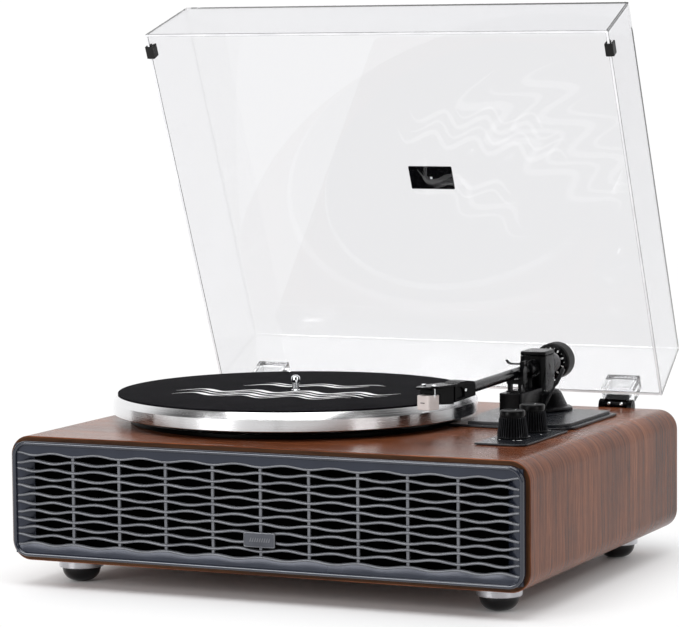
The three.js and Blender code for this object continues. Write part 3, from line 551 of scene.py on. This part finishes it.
def grille():
    """The panel behind the bars, the wavy bars, the ribs, the rim and the badge."""
    xs = [-LAST + 2 * LAST * i / 160 for i in range(161)]
    ends = [LAST + (FRAME_END - LAST) * i / 8 for i in range(1, 9)]
    line = [-x for x in reversed(ends)] + xs + ends
    # Solid borders above the first line and under the last one, and the solid ends.
    bm = bmesh.new()
    for index, straight, away in ((0, 94.2, 0.2), (BARS - 1, 5.3, -0.2)):
        rows = []
        for x in line:
            z = wave_height(index, x)
            section = ((-0.4, z), (-3.3, z), (-3.4, z + away), (-3.4, straight), (-0.4, straight))
            rows.append([bm.verts.new((x, *p)) for p in section])
        strips(rows, bm)
    web = [(202, 4.2), (202.8, 3.0), (208.2, -0.8), (213.4, -3.0), (216, -3.0), (216, -0.4), (208.6, -0.4),
           (208.2, 4.2)]
    for side in (-1, 1):
        prism([(side * x, y) for x, y in web], 6, 93.5, bm)
    piece("grille_panel", bm, FIXED, SLATE, "front_grille", angle=40)
    # Wavy bars, rounded at the front.
    bm = bmesh.new()
    section = [(-BAR / 2, -0.5), (-BAR / 2, -2.7), (-0.85, -3.35), (-0.45, -3.75), (0, -3.88), (0.45, -3.75),
               (0.85, -3.35), (BAR / 2, -2.7), (BAR / 2, -0.5)]
    for index in range(BARS):
        rows = [[bm.verts.new((x, y, wave_height(index, x) + dz)) for dz, y in section] for x in line]
        strips(rows, bm)
        bm.faces.new(rows[0])
        bm.faces.new(list(reversed(rows[-1])))
    piece("grille_bars", bm, FIXED, BAR_GREY, angle=60)
    bm = bmesh.new()
    for x in RIBS:
        upright(eased([(x - 1.1, 14), (x + 1.1, 14), (x + 1.1, 85.6), (x - 1.1, 85.6)], 0.1), -2.5, -0.5, bm)
    piece("grille_ribs", bm, FIXED, BAR_GREY, bevel=0.35)
    # The raised rim round the grille.
    bm = bmesh.new()
    profile = [(0.0, -0.3), (0.0, -4.6), (0.35, -5.4), (1.0, -5.9), (1.7, -6.0), (2.6, -5.8), (3.1, -5.2),
               (3.5, -3.4), (3.5, -0.3)]
    rings = framed(434.8, 92.3, MIDDLE, 14, [(inset, 12.5 - inset, y) for inset, y in profile], bm)
    skinned(zip(rings, rings[1:] + rings[:1]), bm)
    piece("grille_rim", bm, FIXED, SLATE_RIM, angle=50)
    plate = upright(rounded_rect(26.6, 11.6, 1.0, 0, 28.6, 4), -5.0, -3.7)
    piece("badge_plate", plate, FIXED, BADGE_METAL, "grille_badge", bevel=0.3)
    bm = bmesh.new()
    profile = ((0, -4.2), (0, -5.2), (0.3, -5.45), (0.7, -5.45), (0.9, -5.0), (0.9, -4.6))
    rings = framed(26.6, 11.6, 28.6, 4, [(inset, 1.0, y) for inset, y in profile], bm)
    skinned(zip(rings, rings[1:]), bm)
    piece("badge_border", bm, FIXED, BAR_GREY, angle=60)
    # Nine slanted strokes, drawn lying down and then stood up on the plate.
    bm = bmesh.new()
    for i in range(9):
        prism([(x + 2 * i, y) for x, y in ((-8.6, 0), (-7.4, 0), (-6.6, 3.2), (-7.2, 3.2))], 0, 0.25, bm)
    bm.transform(Matrix(((1, 0, 0, 0), (0, 0, -1, -5.0), (0, 1, 0, 27.0), (0, 0, 0, 1))))
    piece("badge_strokes", bm, FIXED, BAR_GREY)


def feet():
    """Four turned collars, each over a rounded pad with a small flat under it."""
    flat, low, high = 5, -20.5, -9.5
    curve = [(flat + 10.5 * math.sin(t * DEG), low + 11 * (1 - math.cos(t * DEG))) for t in range(10, 91, 8)]
    dome = [(0, low), (flat, low)] + curve + [(15.5, high), (0, high)]
    for row, y in (("front", 39), ("back", 304)):
        for side, x in (("left", -180.5), ("right", 180.5)):
            name, seat = row + "_" + side, (CABINET @ shift(x, y, 0), "cabinet")
            collar = lathe([(0, -9.2), (17.9, -9.2), (18, -0.3), (0, -0.3)], 96, 0.7)
            piece("foot_collar_" + name, collar, seat, FOOT_METAL, "foot_ring_" + name)
            piece("foot_dome_" + name, lathe(dome, 72), seat, GLOSS_BLACK, "foot_pad_" + name)


def ribbon(points, width, z, bm):
    """A flat stroke along points, thin at its two ends."""
    last = len(points) - 1
    rows = []
    for i, point in enumerate(points):
        ahead = Vector(points[min(i + 1, last)]) - Vector(points[max(i - 1, 0)])
        side = Vector((-ahead.y, ahead.x)).normalized()
        slant = 0.62 + 0.38 * abs(side.dot(Vector((0.8, 0.6))))
        half = width / 2 * slant * min(1, 0.12 + 6 * i / last, 0.12 + 6 * (last - i) / last)
        rows.append([bm.verts.new((point[0] + k * half * side.x, point[1] + k * half * side.y, z))
                     for k in (-1, 1)])
    for a, b in zip(rows, rows[1:]):
        bm.faces.new((a[0], a[1], b[1], b[0]))


def motif():
    """White print on the mat: plain running waves before and behind the spindle."""
    length, height = 44, 123.68
    bm = bmesh.new()
    waves = ((-96, 92, -16, 8, 6.4), (-84, 86, -29, 8, 3.6), (-92, 70, -42, 8, 6.0),
             (-48, 60, -54, 8, 3.0), (-52, 54, 28, 6, 5.6), (-38, 66, 39, 6, 3.4))
    for first, last, y, swing, width in waves:
        along = [first + (last - first) * i / 240 for i in range(241)]
        points = [(x, y + swing * math.sin(x / length * 2 * math.pi)) for x in along]
        ribbon(points, width, height, bm)
    return bm


def platter():
    """The turned platter with its belt ring, the mat and its print, the spindle and the disc below."""
    web = 117.5  # the underside of the platter's plate
    profile = [(3.9, 108.1), (12, 108.1), (12, web), (84, web), (84, 108.5), (88, 108.5), (88, web),
               (145.5, web), (145.5, 107.1), (149.6, 107.1), (150, 107.5), (150, 116.4), (149.7, 117.0),
               (147.2, 121.4), (146.7, 122), (145, 122), (3.9, 122)]
    piece("turned_platter", lathe(profile, 256), ROUND, TURNED, "platter", angle=20)
    mat = lathe([(3.9, 122.3), (146.3, 122.3), (146.3, 123.6), (3.9, 123.6)], 192, 0.55)
    piece("felt_mat", mat, ROUND, FELT, "slip_mat")
    piece("mat_motif", motif(), (DISC @ spin(9, "Z"), "turning_platter"), WHITE_INK)
    pin = [(0, 67.4), (3.6, 67.4), (3.6, 103.5), (8, 103.5), (8, 107.7), (3.6, 107.7), (3.6, 123.6),
           (2.9, 124.4), (2.9, 129.8), (3.8, 132.2), (3.5, 134.6), (1.9, 135.9), (0, 136.2)]
    piece("centre_spindle", lathe(pin, 48, 0.3), ROUND, CHROME, "spindle", angle=30)
    under = lathe([(20.4, 99.8), (136, 99.8), (136, 103.1), (20.4, 103.1)], 160, 0.6)
    piece("under_disc", under, (DISC, "cabinet"), DECK_SHADE_BLACK, "deck_disc")


def knob(name, node, y):
    """A tapered knob on the body of its name: each level is (radius, flute depth, height)."""
    count = FLUTES * 12

    def ring(radius, depth, z):
        points = []
        for i in range(count):
            t = 2 * math.pi * i / count
            r = radius - depth * abs(math.sin(FLUTES * t / 2))
            points.append((r * math.cos(t), r * math.sin(t), z))
        return points

    levels = [(12.0, 0, 0), (12.2, 0, 0.3), (12.2, 0.1, 0.9), (12.2, 1.3, 1.3), (11.95, 1.4, 4),
              (11.6, 1.4, 7), (11.2, 1.4, 10), (10.8, 1.4, 13), (10.5, 1.4, 15.4), (10.2, 1.2, 16.0),
              (9.3, 0, 16.5), (9.3, 0, 17.0), (9.9, 0, 17.4), (9.9, 0, 20.4), (9.6, 0, 21.1), (9.0, 0, 21.5),
              (8.6, 0, 21.45), (8.3, 0, 21.1), (8.0, 0, 20.95), (0.5, 0, 20.9)]
    seat = (CABINET @ shift(164.3, y, 101.7), name)
    piece(name, loft([ring(*level) for level in levels]), seat, KNOB_BLACK, node, angle=50)
    mark = block(-0.35, 0.35, 5.6, 8.0, 21.25 - 0.35, 21.02)
    piece(name + "_pointer", mark, seat, WHITE_INK)


def controls():
    """The plate with its two knobs, and white dots and dashes in place of labels."""
    outline = [(146.7, 73)] + arc(180.2, 81, 8, -90, 0, 12) + [(188.2, 168), (146.7, 168)]
    plate = prism(outline, 99.8, 101.3)
    piece("knob_plate", plate, FIXED, PLATE_BLACK, "control_plate", bevel=0.4)
    knob("front_knob", "volume_knob", 109.5)
    knob("rear_knob", "function_knob", 152)
    marks, low, high = bmesh.new(), 101.2, 101.36
    dashes = ((151.7, 100.1, 2.6, 0.9), (174.6, 97.4, 4.6, 1.0), (172.9, 165, 4.2, 1.0),
              (152.6, 138, 2.4, 0.9))
    for x, y, w, h in dashes:
        block(x - w / 2, x + w / 2, y - h / 2, y + h / 2, low, high, marks)
    for x, y in ((158.6, 96.2), (170.3, 96.2), (172.5, 123.9), (177.4, 137.5), (150.8, 114.5)):
        prism(arc(x, y, 0.75, 0, 345, 23), low, high, marks)
    piece("knob_plate_marks", marks, FIXED, WHITE_INK)


def arm_base():
    """The two-level base plate, the pedestal, and the lift's case and handle."""
    def level(inset, corner):
        left, right, front, back = 84 + inset, 187 - inset, 173 + inset, 290 - inset
        path = arc(right - corner, front + corner, corner, -90, 0, 16) + arc(right - 3, back - 3, 3, 0, 90, 5)
        return left, front, back, path

    left, front, back, path = level(0, 20)
    lower = prism([(left, front)] + path + [(left, back)], 99.8, 101.8)
    piece("arm_base_lower", lower, FIXED, PLATE_BLACK, "tonearm_base_plate", bevel=0.45,
          segments=3)
    # The upper level is cut away round the platter.
    left, front, back, path = level(4.5, 15.5)
    reach = 152
    start, end = math.degrees(math.acos((left + 53) / reach)), math.degrees(math.asin((front - 176) / reach))
    upper = prism(path + [(left, back)] + arc(-53, 176, reach, start, end, 24), 101.5, 104.2)
    piece("arm_base_upper", upper, FIXED, PLATE_BLACK, bevel=0.6, segments=3)
    cone = [(5.6, 104.5), (29, 104.5), (29, 106.1), (27.6, 107.1), (24.9, 107.6), (19.7, 118.6),
            (17.4, 120.6), (5.6, 120.6)]
    piece("arm_pedestal", lathe(cone, 96, 0.9), (CABINET @ shift(123.2, 272, 0), "cabinet"), SATIN_BLACK,
          "pivot_pedestal")
    body = prism(rounded_rect(19.5, 49, 2.4, 124.75, 229.5, 6), 104.5, 124.3)
    piece("lift_case", body, FIXED, SATIN_BLACK, "lift_housing", bevel=0.8, segments=3)
    grip = [(0, 0), (1.0, 0), (1.0, 37), (1.3, 39), (1.85, 41), (1.95, 50), (1.9, 58), (1.4, 60), (0, 60)]
    lever = turned(grip, shift(146, 219.6, 107.4) @ spin(31, "X") @ ALONG_Y, 32, 0.4)
    hub = [(0, 134.8), (2.8, 134.8), (2.8, 147.6), (0, 147.6)]
    hub = turned(hub, shift(0, 219.6, 107.4) @ ALONG_X, 32, 0.5)
    piece("lift_handle", added(lever, hub), (CABINET, "lift_lever"), ARM_BLACK, "cue_lever")


def arm_stand():
    """The bar that lifts the arm, and the rest post with its clip."""
    bar = prism(arc(0, 0, 26, -82, -136, 16) + arc(0, 0, 22, -136, -82, 16), -9.7, -6.7)
    plunger = turned([(0, -21.2), (2.9, -21.2), (2.9, -7.7), (0, -7.7)], shift(0, -24, 0), 32, 0.3)
    piece("lift_rail", added(bar, plunger), (ARM, "lift_bar"), SATIN_BLACK, "cue_platform",
          bevel=0.5)
    front, back, low = -63, -54, 124.6 - 140
    stand = block(-6.5, 6.5, front, back, low, low + 1.6)
    for x0, x1 in ((-5.8, -3), (3, 5.8)):
        block(x0, x1, front + 1.5, back - 1.5, low + 1, -8, stand)
    block(-6.2, 8.4, front, back, -8.4, -4.6, stand)
    block(5, 8.4, front, back, -5, 6, stand)
    block(5.2, 9.2, front, front + 1.3, 5, 10.3, stand)
    block(5.2, 9.2, back - 1.3, back, 5, 10.3, stand)
    piece("rest_stand", stand, (ARM, "cabinet"), SATIN_BLACK, "arm_rest", bevel=0.35)
    hook = [(7.2, 7.2), (-4.6, 7.2), (-6.4, 8.3), (-8.1, 10.5), (-7.3, 11.2), (-5.6, 9.3), (-4, 8.5),
            (0, 8.3), (7.2, 8.7)]
    clip = upright(eased(hook, 0.8), -60.4, -56.6)
    knuckle = [(0, -61.4), (1.6, -61.4), (1.6, -55.6), (0, -55.6)]
    clip = added(clip, turned(knuckle, shift(7.2, 0, 8.4) @ ALONG_Y, 32, 0.2))
    piece("rest_clip", clip, (ARM, "rest_latch"), SATIN_BLACK, "arm_latch", bevel=0.3)


def arm_pivot():
    """The pivot block, bored for the arm, with its stem, cap and two bearing screws."""
    outline = rounded_rect(22, 31, 4.5, 0, 0, 10)
    stem = lathe([(0, -34), (5.2, -34), (5.2, -18.6), (0, -18.6)], 32)
    body = piece("pivot_body", prism(outline, -18.6, 9.6), PIVOT, SATIN_BLACK, "pivot_block",
                 bevel=0.6, segments=3)
    carve(body, turned([(0, -30), (7.4, -30), (7.4, 30), (0, 30)], ALONG_Y, 64))
    piece("pivot_stem", stem, PIVOT, SATIN_BLACK)
    piece("pivot_lid", prism(outline, 9.9, 13.4), PIVOT, SATIN_BLACK, "pivot_cap", bevel=1.2,
          segments=4)
    screws = bmesh.new()
    for side in (-1, 1):
        screw = [(0, 0), (2.6, 0), (2.6, 0.5), (1.0, 0.5), (0.8, 0.2), (0, 0.2)]
        screws = added(screws, turned(screw, shift(side * 10.8, 0, 0) @ spin(90 * side, "Y"), 32, 0.1))
    piece("pivot_screws", screws, PIVOT, ARM_BLACK)


def arm_wand():
    """The arm's tube, cut square to the head shell, its collar, and the counterweight's shaft."""
    forward = spin(180, "Z") @ ALONG_Y
    tube = turned([(3.2, -7), (4.25, -7), (4.25, 177), (3.2, 177)], forward, 64, 0.2)
    obj = piece("arm_wand", tube, WAND, ARM_BLACK, "arm_tube")
    beyond = moved(block(-12, 12, -30, 0.3, -12, 12), shift(0, -174, 0) @ spin(-22, "Z"))
    carve(obj, beyond)
    collar = [(4.5, 9), (6, 9), (6, 12), (5.8, 12.2), (5.8, 12.8), (6, 13), (6, 29.6), (5.2, 31), (4.5, 31)]
    piece("wand_collar", turned(collar, forward, 64, 0.15), WAND, SATIN_BLACK, "arm_collar")
    shaft = [(0, 7.3), (4.4, 7.3), (4.4, 56), (3.6, 56.8), (0, 56.8)]
    piece("weight_rod", turned(shaft, ALONG_Y, 48, 0.2), WAND, CHROME, "weight_shaft")


def digit(value):
    """One figure of the dial, lying flat round the origin."""
    curve = bpy.data.curves.new("digit", "FONT")
    curve.body = str(value)
    curve.size = 3.3
    curve.offset = 0.05
    curve.align_x = curve.align_y = "CENTER"
    curve.extrude = 0.05
    holder = linked("digit", curve)
    mesh = built(holder)
    bpy.data.objects.remove(holder)
    bm = bmesh.new()
    bm.from_mesh(mesh)
    bpy.data.meshes.remove(mesh)
    return bm


def arm_weight():
    """The counterweight's sleeve and knurled ring, and the dial with its figures."""
    sleeve = [(4.7, 34.6), (7.8, 34.6), (8.6, 35.4), (8.6, 53), (4.7, 53)]
    piece("weight_core", turned(sleeve, ALONG_Y, 64, 0.2), CARRIAGE, GREY_INK, "weight_sleeve")
    ticks = bmesh.new()
    for i in range(40):
        ticks = added(ticks, moved(block(-0.13, 0.13, 5.4, 8.3, 35.7 - 0.9, 35.7 - 0.78), spin(9 * i, "Z")))
    moved(ticks, ALONG_Y)
    ticks.transform(Matrix.Translation((0, -0.32, 0)))
    piece("weight_core_ticks", ticks, CARRIAGE, SATIN_BLACK)
    knurls, count = 60, 240
    ring = [(8.9, 39), (14.7, 39), (15.4, 39.6), (15.4, 54.6), (15.0, 55.8), (14.0, 56.5), (10.4, 56.5),
            (10.0, 55.9), (8.9, 55.9)]
    bm = lathe(ring, count, 0.3)
    for v in bm.verts:
        r = math.hypot(v.co.x, v.co.y)
        if r > 15.3 and 40.5 < v.co.z < 54:
            turn = math.atan2(v.co.y, v.co.x)
            pull = 1 - 0.012 * (0.5 - 0.5 * math.cos(knurls * turn))
            v.co.x, v.co.y = v.co.x * pull, v.co.y * pull
    piece("weight_ring", moved(bm, ALONG_Y), (ARM, "turning_weight"), RUBBER, "counterweight")
    dial = [(8.9, 35.2), (12.4, 35.2), (14.1, 36.9), (14.1, 38.7), (8.9, 38.7)]
    piece("weight_scale", turned(dial, ALONG_Y, 96, 0.2), DIAL, SATIN_BLACK, "weight_dial")
    marks = bmesh.new()
    for i in range(20):
        tall = 1.5 if i % 2 == 0 else 0.8
        marks = added(marks, moved(block(-0.14, 0.14, 12.3 - tall, 12.3, -35.22, -35.1), spin(18 * i, "Z")))
    for i in range(10):
        figure = digit(i)
        figure.transform(Matrix.Rotation(36 * i * DEG, 4, "Z") @ Matrix.Translation((0, 9.9 + 0.6, -35.2)))
        marks = added(marks, figure)
    marks.transform(Matrix(((1, 0, 0, 0), (0, 0, -1, 0), (0, 1, 0, 0), (0, 0, 0, 1))))
    piece("weight_scale_marks", marks, DIAL, WHITE_INK)


def arm_head():
    """The head shell with a window each side, the cartridge, the stylus and the screws."""
    half = [(5.6, 0.2), (7, 1.2), (7.2, 14), (8.6, 28), (8.9, 40), (8.3, 45), (4.6, 56), (2.2, 59.4)]
    plan = [(x, -y) for x, y in half] + [(-x, -y) for x, y in reversed(half)]
    top = prism(eased(plan, 2.0, 5), 4.2, 6)
    side = [(0, -4.8), (0, 4.4), (-1.6, 6.4), (-9, 7.4), (-16, 7.2), (-22, 6), (-26, 6), (-26, 4.2),
            (-24, 4.2), (-24, -8.4)]
    window = eased([(-22, -6.2), (-12.4, -4.6), (-13.6, 1.2), (-17, 3.2), (-22, 3.2)], 1.0, 3)
    piece("shell_top", top, SHELL, SATIN_BLACK, "head_shell", bevel=0.4)
    middle = sideways(eased(side, 0.8, 3), -7, 7)
    body = piece("shell_body", middle, SHELL, SATIN_BLACK, bevel=0.5)
    for x in (-6.6, 6.6):
        carve(body, sideways(window, x - 1.2, x + 1.2))
    pickup = [(-24.4, 3.9), (-49.5, 3.9), (-49.5, -0.6), (-40.4, -0.6), (-40.4, -8.6), (-24.4, -9.6)]
    piece("pickup_body", sideways(eased(pickup, 0.6, 3), -6.2, 6.2), SHELL, SATIN_BLACK, "cartridge_body",
          bevel=0.5)
    holder = prism(rounded_rect(12.4, 13, 1.6, 0, -47.4, 6), -12.2, -0.9)
    piece("needle_holder", holder, SHELL, IVORY, "stylus_holder", bevel=0.7, segments=3)
    bar_mark = upright(eased([(-2.2, -6.9), (2.2, -6.9), (2.2, -6.3), (-2.2, -6.3)], 0.2), -53.96, -53.7)
    piece("needle_holder_mark", bar_mark, SHELL, SATIN_BLACK)
    needle = [(-44, -12.5), (-48, -12.5), (-53.4, -13.3), (-53.4, -14.4), (-52.8, -14.4), (-52.6, -13.9),
              (-44, -13.2)]
    piece("needle", sideways(needle, -0.5, 0.5), SHELL, CHROME, "stylus_cantilever",
          bevel=0.1)
    screws = bmesh.new()
    for x in (-5.2, 5.2):
        screw = lathe([(0, 6.0), (1.9, 6.0), (1.9, 6.9), (1.5, 7.3), (0, 7.3)], 32, 0.15)
        block(-1.4, 1.4, -0.2, 0.2, 7.2, 7.34, screw)
        shank = lathe([(0, -2.6), (1.1, -2.6), (1.1, 4.2), (0, 4.2)], 24)
        for shape in (screw, shank):
            screws = added(screws, moved(shape, shift(x, -46.5, 0)))
    piece("shell_screws", screws, SHELL, CHROME)
    dimple = turned([(0, 0), (1.3, 0), (1.2, 0.5), (0, 0.6)], shift(7, -12, 0.5) @ ALONG_X, 24, 0.1)
    piece("shell_side_screw", dimple, SHELL, CHROME)


def hinge(side, word, lean):
    """One hinge with its socket and screws, and the bumper at the cover's front corner."""
    x = side * 165
    axis = shift(x, 349.7, 100.7) @ ALONG_X
    pocket = [(lean[0], 107), (349.4, 107), (349.4, 126), (348, 127.5), (lean[1], 127.5)]
    shell = piece("cover_pocket" + word, sideways(pocket, x - 14.5, x + 14.5), LID, POCKET,
                  "lid_socket" + word, bevel=0.5)
    carve(shell, block(x - 10.4, x + 10.4, 343.1, 346.9, 100, 125.4))
    tongue = [(-9.9, 99.8), (9.9, 99.8), (9.9, 111.2), (9.1, 112), (-9.1, 112), (-9.9, 111.2)]
    leaf = upright([(x + a, b) for a, b in tongue], 343.5, 346.5)
    barrel = turned([(2, -9.9), (4.3, -9.9), (4.3, 9.9), (2, 9.9)], axis, 48, 0.2)
    piece("hinge_tongue" + word, added(leaf, barrel), LID, SATIN_BLACK, "hinge_leaf" + word,
          bevel=0.3)
    cheek = eased([(343.3, 76), (347, 76), (354.6, 98.2), (354.9, 100.7), (353.4, 104.4), (349.7, 105.9),
                   (346, 104.4), (344.5, 100.7), (343.3, 97)], 0.8, 3)
    base = block(x - 14.7, x + 14.7, 343.3, 346, 70, 94)
    sideways(cheek, x - 14.7, x - 10.5, base)
    sideways(cheek, x + 10.5, x + 14.7, base)
    pin = turned([(0, -14.9), (1.7, -14.9), (1.7, 14.9), (0, 14.9)], axis, 32, 0.2)
    piece("hinge_base" + word, added(base, pin), FIXED, SATIN_BLACK, "hinge_bracket" + word,
          bevel=0.3)
    heads = bmesh.new()
    for dx in (-7, 7):
        for z in (76, 88):
            head = [(0, 0), (2.4, 0), (2.2, 1.0), (1.2, 1.4), (0, 1.45)]
            heads = added(heads, turned(head, shift(x + dx, 346, z) @ ALONG_Y, 32, 0.1))
    piece("hinge_screws" + word, heads, FIXED, CHROME)
    clip = [(202.3, 99.85), (209.5, 99.85), (209, 108), (207.5, 108), (207.5, 100.2), (203.9, 100.2),
            (203.9, 108), (202.3, 108)]
    studs = bmesh.new()
    for dx in (-5.5, 5.5):
        head = [(0, 0), (1.5, 0), (1.4, 0.5), (0.7, 0.8), (0, 0.85)]
        studs = added(studs, turned(head, shift(x + dx, 345.7, 102.2) @ spin(70, "X"), 24, 0.1))
    piece("hinge_studs" + word, studs, (CABINET, "cover"), CHROME)
    pad = upright([(side * a, b) for a, b in clip], 16, 27)
    piece("cover_bumper" + word, pad, LID, RUBBER, "lid_bumper" + word, bevel=0.35)


def cover():
    """The hollow cover, closed at the top and open at its sawn rim, and its label."""
    width, front, back, rim, height, draft, wall = 414.4, 4.5, 338.5, 100.5, 69.7, 5.5, 2.4

    def ring(z, inset, corner):
        lean = draft * (z - rim) / height + inset
        w, d = width - 2 * lean, back - front - 2 * lean
        return [(x, y, z) for x, y in rounded_rect(w, d, corner, 0, (front + back) / 2, 3)]

    top = rim + height
    outer = ((rim, 0.25, 1.2), (rim + 0.3, 0, 1.2), (top - 0.8, 0, 1.2), (top - 0.2, 0.3, 1.1),
             (top, 0.9, 1.0))
    inner = ((top - wall, wall + 0.8, 0.6), (top - wall - 0.6, wall, 0.6), (rim + 0.3, wall, 0.6),
             (rim, wall - 0.25, 0.6))
    bm = bmesh.new()
    outside = [[bm.verts.new(p) for p in ring(*level)] for level in outer]
    inside = [[bm.verts.new(p) for p in ring(*level)] for level in inner]
    skinned([*zip(outside, outside[1:]), *zip(inside, inside[1:])], bm)
    skinned([(inside[-1], outside[0])], bm, material=1)
    bm.faces.new(outside[-1])
    bm.faces.new(inside[0])
    piece("clear_cover", bm, LID, [ACRYLIC, ACRYLIC_EDGE_GLOW], "dust_cover", angle=25)
    label = prism(rounded_rect(40, 21.5, 1, 0, 171.5, 4), top + 0.3, top + 1.3)
    piece("cover_label", label, LID, SATIN_BLACK, "lid_badge", bevel=0.2)
    glint = prism(arc(0, 171.5, 1.1, 0, 345, 23), top + 0.22, top + 0.32)
    piece("cover_label_dot", glint, LID, WHITE_INK)
    lean = [back - draft * (z - rim) / height + 0.3 for z in (107, 127.5)]
    hinge(-1, "_left", lean)
    hinge(1, "_right", lean)


def soften(node, material):
    """A CAD node kept as it is, shaded smooth across shallow edges and given its material."""
    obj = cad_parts[node]
    obj.data.materials.clear()
    obj.data.materials.append(material)
    step = obj.modifiers.new("shading", "NODES")
    step.node_group = SHADING


def shading_group():
    """Smooth faces, with every edge sharper than an angle left hard."""
    group = bpy.data.node_groups.new("smooth_by_angle", "GeometryNodeTree")
    for way in ("INPUT", "OUTPUT"):
        group.interface.new_socket("Geometry", in_out=way, socket_type="NodeSocketGeometry")
    source = wired(group, "NodeGroupInput").outputs[0]
    angle = wired(group, "GeometryNodeInputMeshEdgeAngle").outputs[0]
    shallow = wired(group, "FunctionNodeCompare", {0: angle, 1: 32 * DEG}, operation="LESS_THAN").outputs[0]
    faces = wired(group, "GeometryNodeSetShadeSmooth", {0: source}).outputs[0]
    values = {0: faces, "Shade Smooth": shallow}
    edges = wired(group, "GeometryNodeSetShadeSmooth", values, domain="EDGE").outputs[0]
    wired(group, "NodeGroupOutput", {0: edges})
    return group


SHADING = shading_group()
KEPT = {
    "speaker_baffle": SHADOW_BLACK, "speaker_driver_left": SHADOW_BLACK, "speaker_driver_right": SHADOW_BLACK,
    "back_panel": BOARD, "jack_panel": SATIN_BLACK, "rca_jack_block": BRASS, "power_inlet": SATIN_BLACK,
    "amplifier_board": GREEN, "control_board": GREEN, "bearing_housing": SATIN_BLACK, "drive_belt": RUBBER,
    "motor_pulley": BRASS, "motor": CHROME,
}


# ---- camera, floor and light ----
def camera():
    place, yaw, pitch, roll = (1.054667, -2.373685, 0.434488), 0.4265, 0.0874, -0.0084
    forward = Vector((-math.sin(yaw) * math.cos(pitch), math.cos(yaw) * math.cos(pitch), -math.sin(pitch)))
    right = Vector((math.cos(yaw), math.sin(yaw), 0))
    up = right.cross(forward)
    right, up = right * math.cos(roll) + up * math.sin(roll), up * math.cos(roll) - right * math.sin(roll)
    data = bpy.data.cameras.new("camera")
    data.lens = 168.108
    data.sensor_width = 36
    data.clip_end = 50
    obj = linked("camera", data)
    turn = Matrix((right, up, -forward)).transposed().to_4x4()
    obj.matrix_world = Matrix.Translation(place) @ turn
    bpy.context.scene.camera = obj


def lamp(name, where, target, size, power):
    data = bpy.data.lights.new(name, "AREA")
    data.shape = "RECTANGLE"
    data.size, data.size_y = size
    data.energy = power
    obj = linked(name, data)
    obj.location = where
    obj.rotation_mode = "QUATERNION"
    obj.rotation_quaternion = (Vector(target) - Vector(where)).to_track_quat("-Z", "Y")


def card(name, x, y, width, height, facing):
    """A black card that only reflections show, for the dark bands in the platter's rim."""
    mesh = meshed(name, block(-width / 2, width / 2, -0.01, 0.01, 0.02, height))
    mesh.materials.append(SHADOW_BLACK)
    obj = linked(name, mesh)
    obj.matrix_world = Matrix.Translation((x, y, 0)) @ spin(facing, "Z")
    obj.visible_camera = obj.visible_transmission = False


def studio():
    mesh = bpy.data.meshes.new("floor")
    corners = ((-30, -30), (30, -30), (30, 30), (-30, 30))
    mesh.from_pydata([(x, y, -0.0004) for x, y in corners], [], [(0, 1, 2, 3)])
    floor = linked("floor", mesh)
    # White paper that glows more with distance, so that it has no horizon.
    paint = Paint("floor_paint", Roughness=0.6, Specular_IOR_Level=0.3)
    at = paint.place()
    paint.colour(paint.noise(at, 3), [(0.3, (0.9, 0.9, 0.905)), (0.7, (0.92, 0.92, 0.925))])
    parts = paint.node("ShaderNodeSeparateXYZ", {0: at}).outputs
    # The distance outside a footprint a little smaller than the cabinet.
    beside = paint.math("MAXIMUM", paint.math("SUBTRACT", paint.math("ABSOLUTE", parts[0]), 0.170), 0.0)
    across = paint.math("ABSOLUTE", paint.math("ADD", parts[1], 0.029))
    before = paint.math("MAXIMUM", paint.math("SUBTRACT", across, 0.160), 0.0)
    beside, before = paint.math("POWER", beside, 2.0), paint.math("POWER", before, 2.0)
    away = paint.math("SQRT", paint.math("ADD", beside, before))
    glow = paint.node("ShaderNodeEmission", {0: (1, 1, 1, 1), 1: 1.02}).outputs[0]
    paint.blend(paint.span(away, 0.0, 1.0, 0.01, 0.14), glow)
    mesh.materials.append(paint.material)
    # White behind the object and to its left, a dark room behind the camera.
    world = bpy.data.worlds.new("studio")
    world.use_nodes = True
    tree = world.node_tree
    way = wired(tree, "ShaderNodeTexCoord").outputs["Generated"]
    parts = wired(tree, "ShaderNodeSeparateXYZ", {0: way}).outputs
    depth = wired(tree, "ShaderNodeMath", {0: parts[0], 1: -0.35, 2: parts[1]}, operation="MULTIPLY_ADD")
    reach = {"Value": depth.outputs[0], "From Min": -0.1, "From Max": 0.5, "To Min": 0.10, "To Max": 1.02}
    level = wired(tree, "ShaderNodeMapRange", reach, interpolation_type="SMOOTHSTEP")
    tree.links.new(level.outputs[0], tree.nodes["Background"].inputs["Strength"])
    tree.nodes["Background"].inputs["Color"].default_value = (1, 1, 1, 1)
    bpy.context.scene.world = world
    lamp("key", (-1.1, -2.3, 0.95), (0, 0, 0.08), (1.1, 1.3), 34)
    lamp("fill", (2.1, -0.9, 0.9), (0, 0, 0.08), (0.7, 1.3), 9)
    lamp("top", (0.1, -0.75, 2.2), (0, 0, 0), (2.0, 1.7), 40)
    card("card_right", 1.75, 0.75, 0.28, 0.9, 113)
    card("card_far_right", 1.9, 0.1, 0.14, 0.9, 93)
    card("card_front", 0.42, -1.9, 0.12, 0.9, 12)
    card("card_front_left", -1.55, -1.35, 0.10, 0.9, -49)
    card("card_left", -1.02, -0.2, 0.42, 0.26, -79)
    bpy.context.scene.view_settings.view_transform = "Standard"


camera()
studio()
cabinet()
grille()
feet()
platter()
controls()
arm_base()
arm_stand()
arm_pivot()
arm_wand()
arm_weight()
arm_head()
cover()
for node, material in KEPT.items():
    soften(node, material)

bpy.context.view_layer.update()
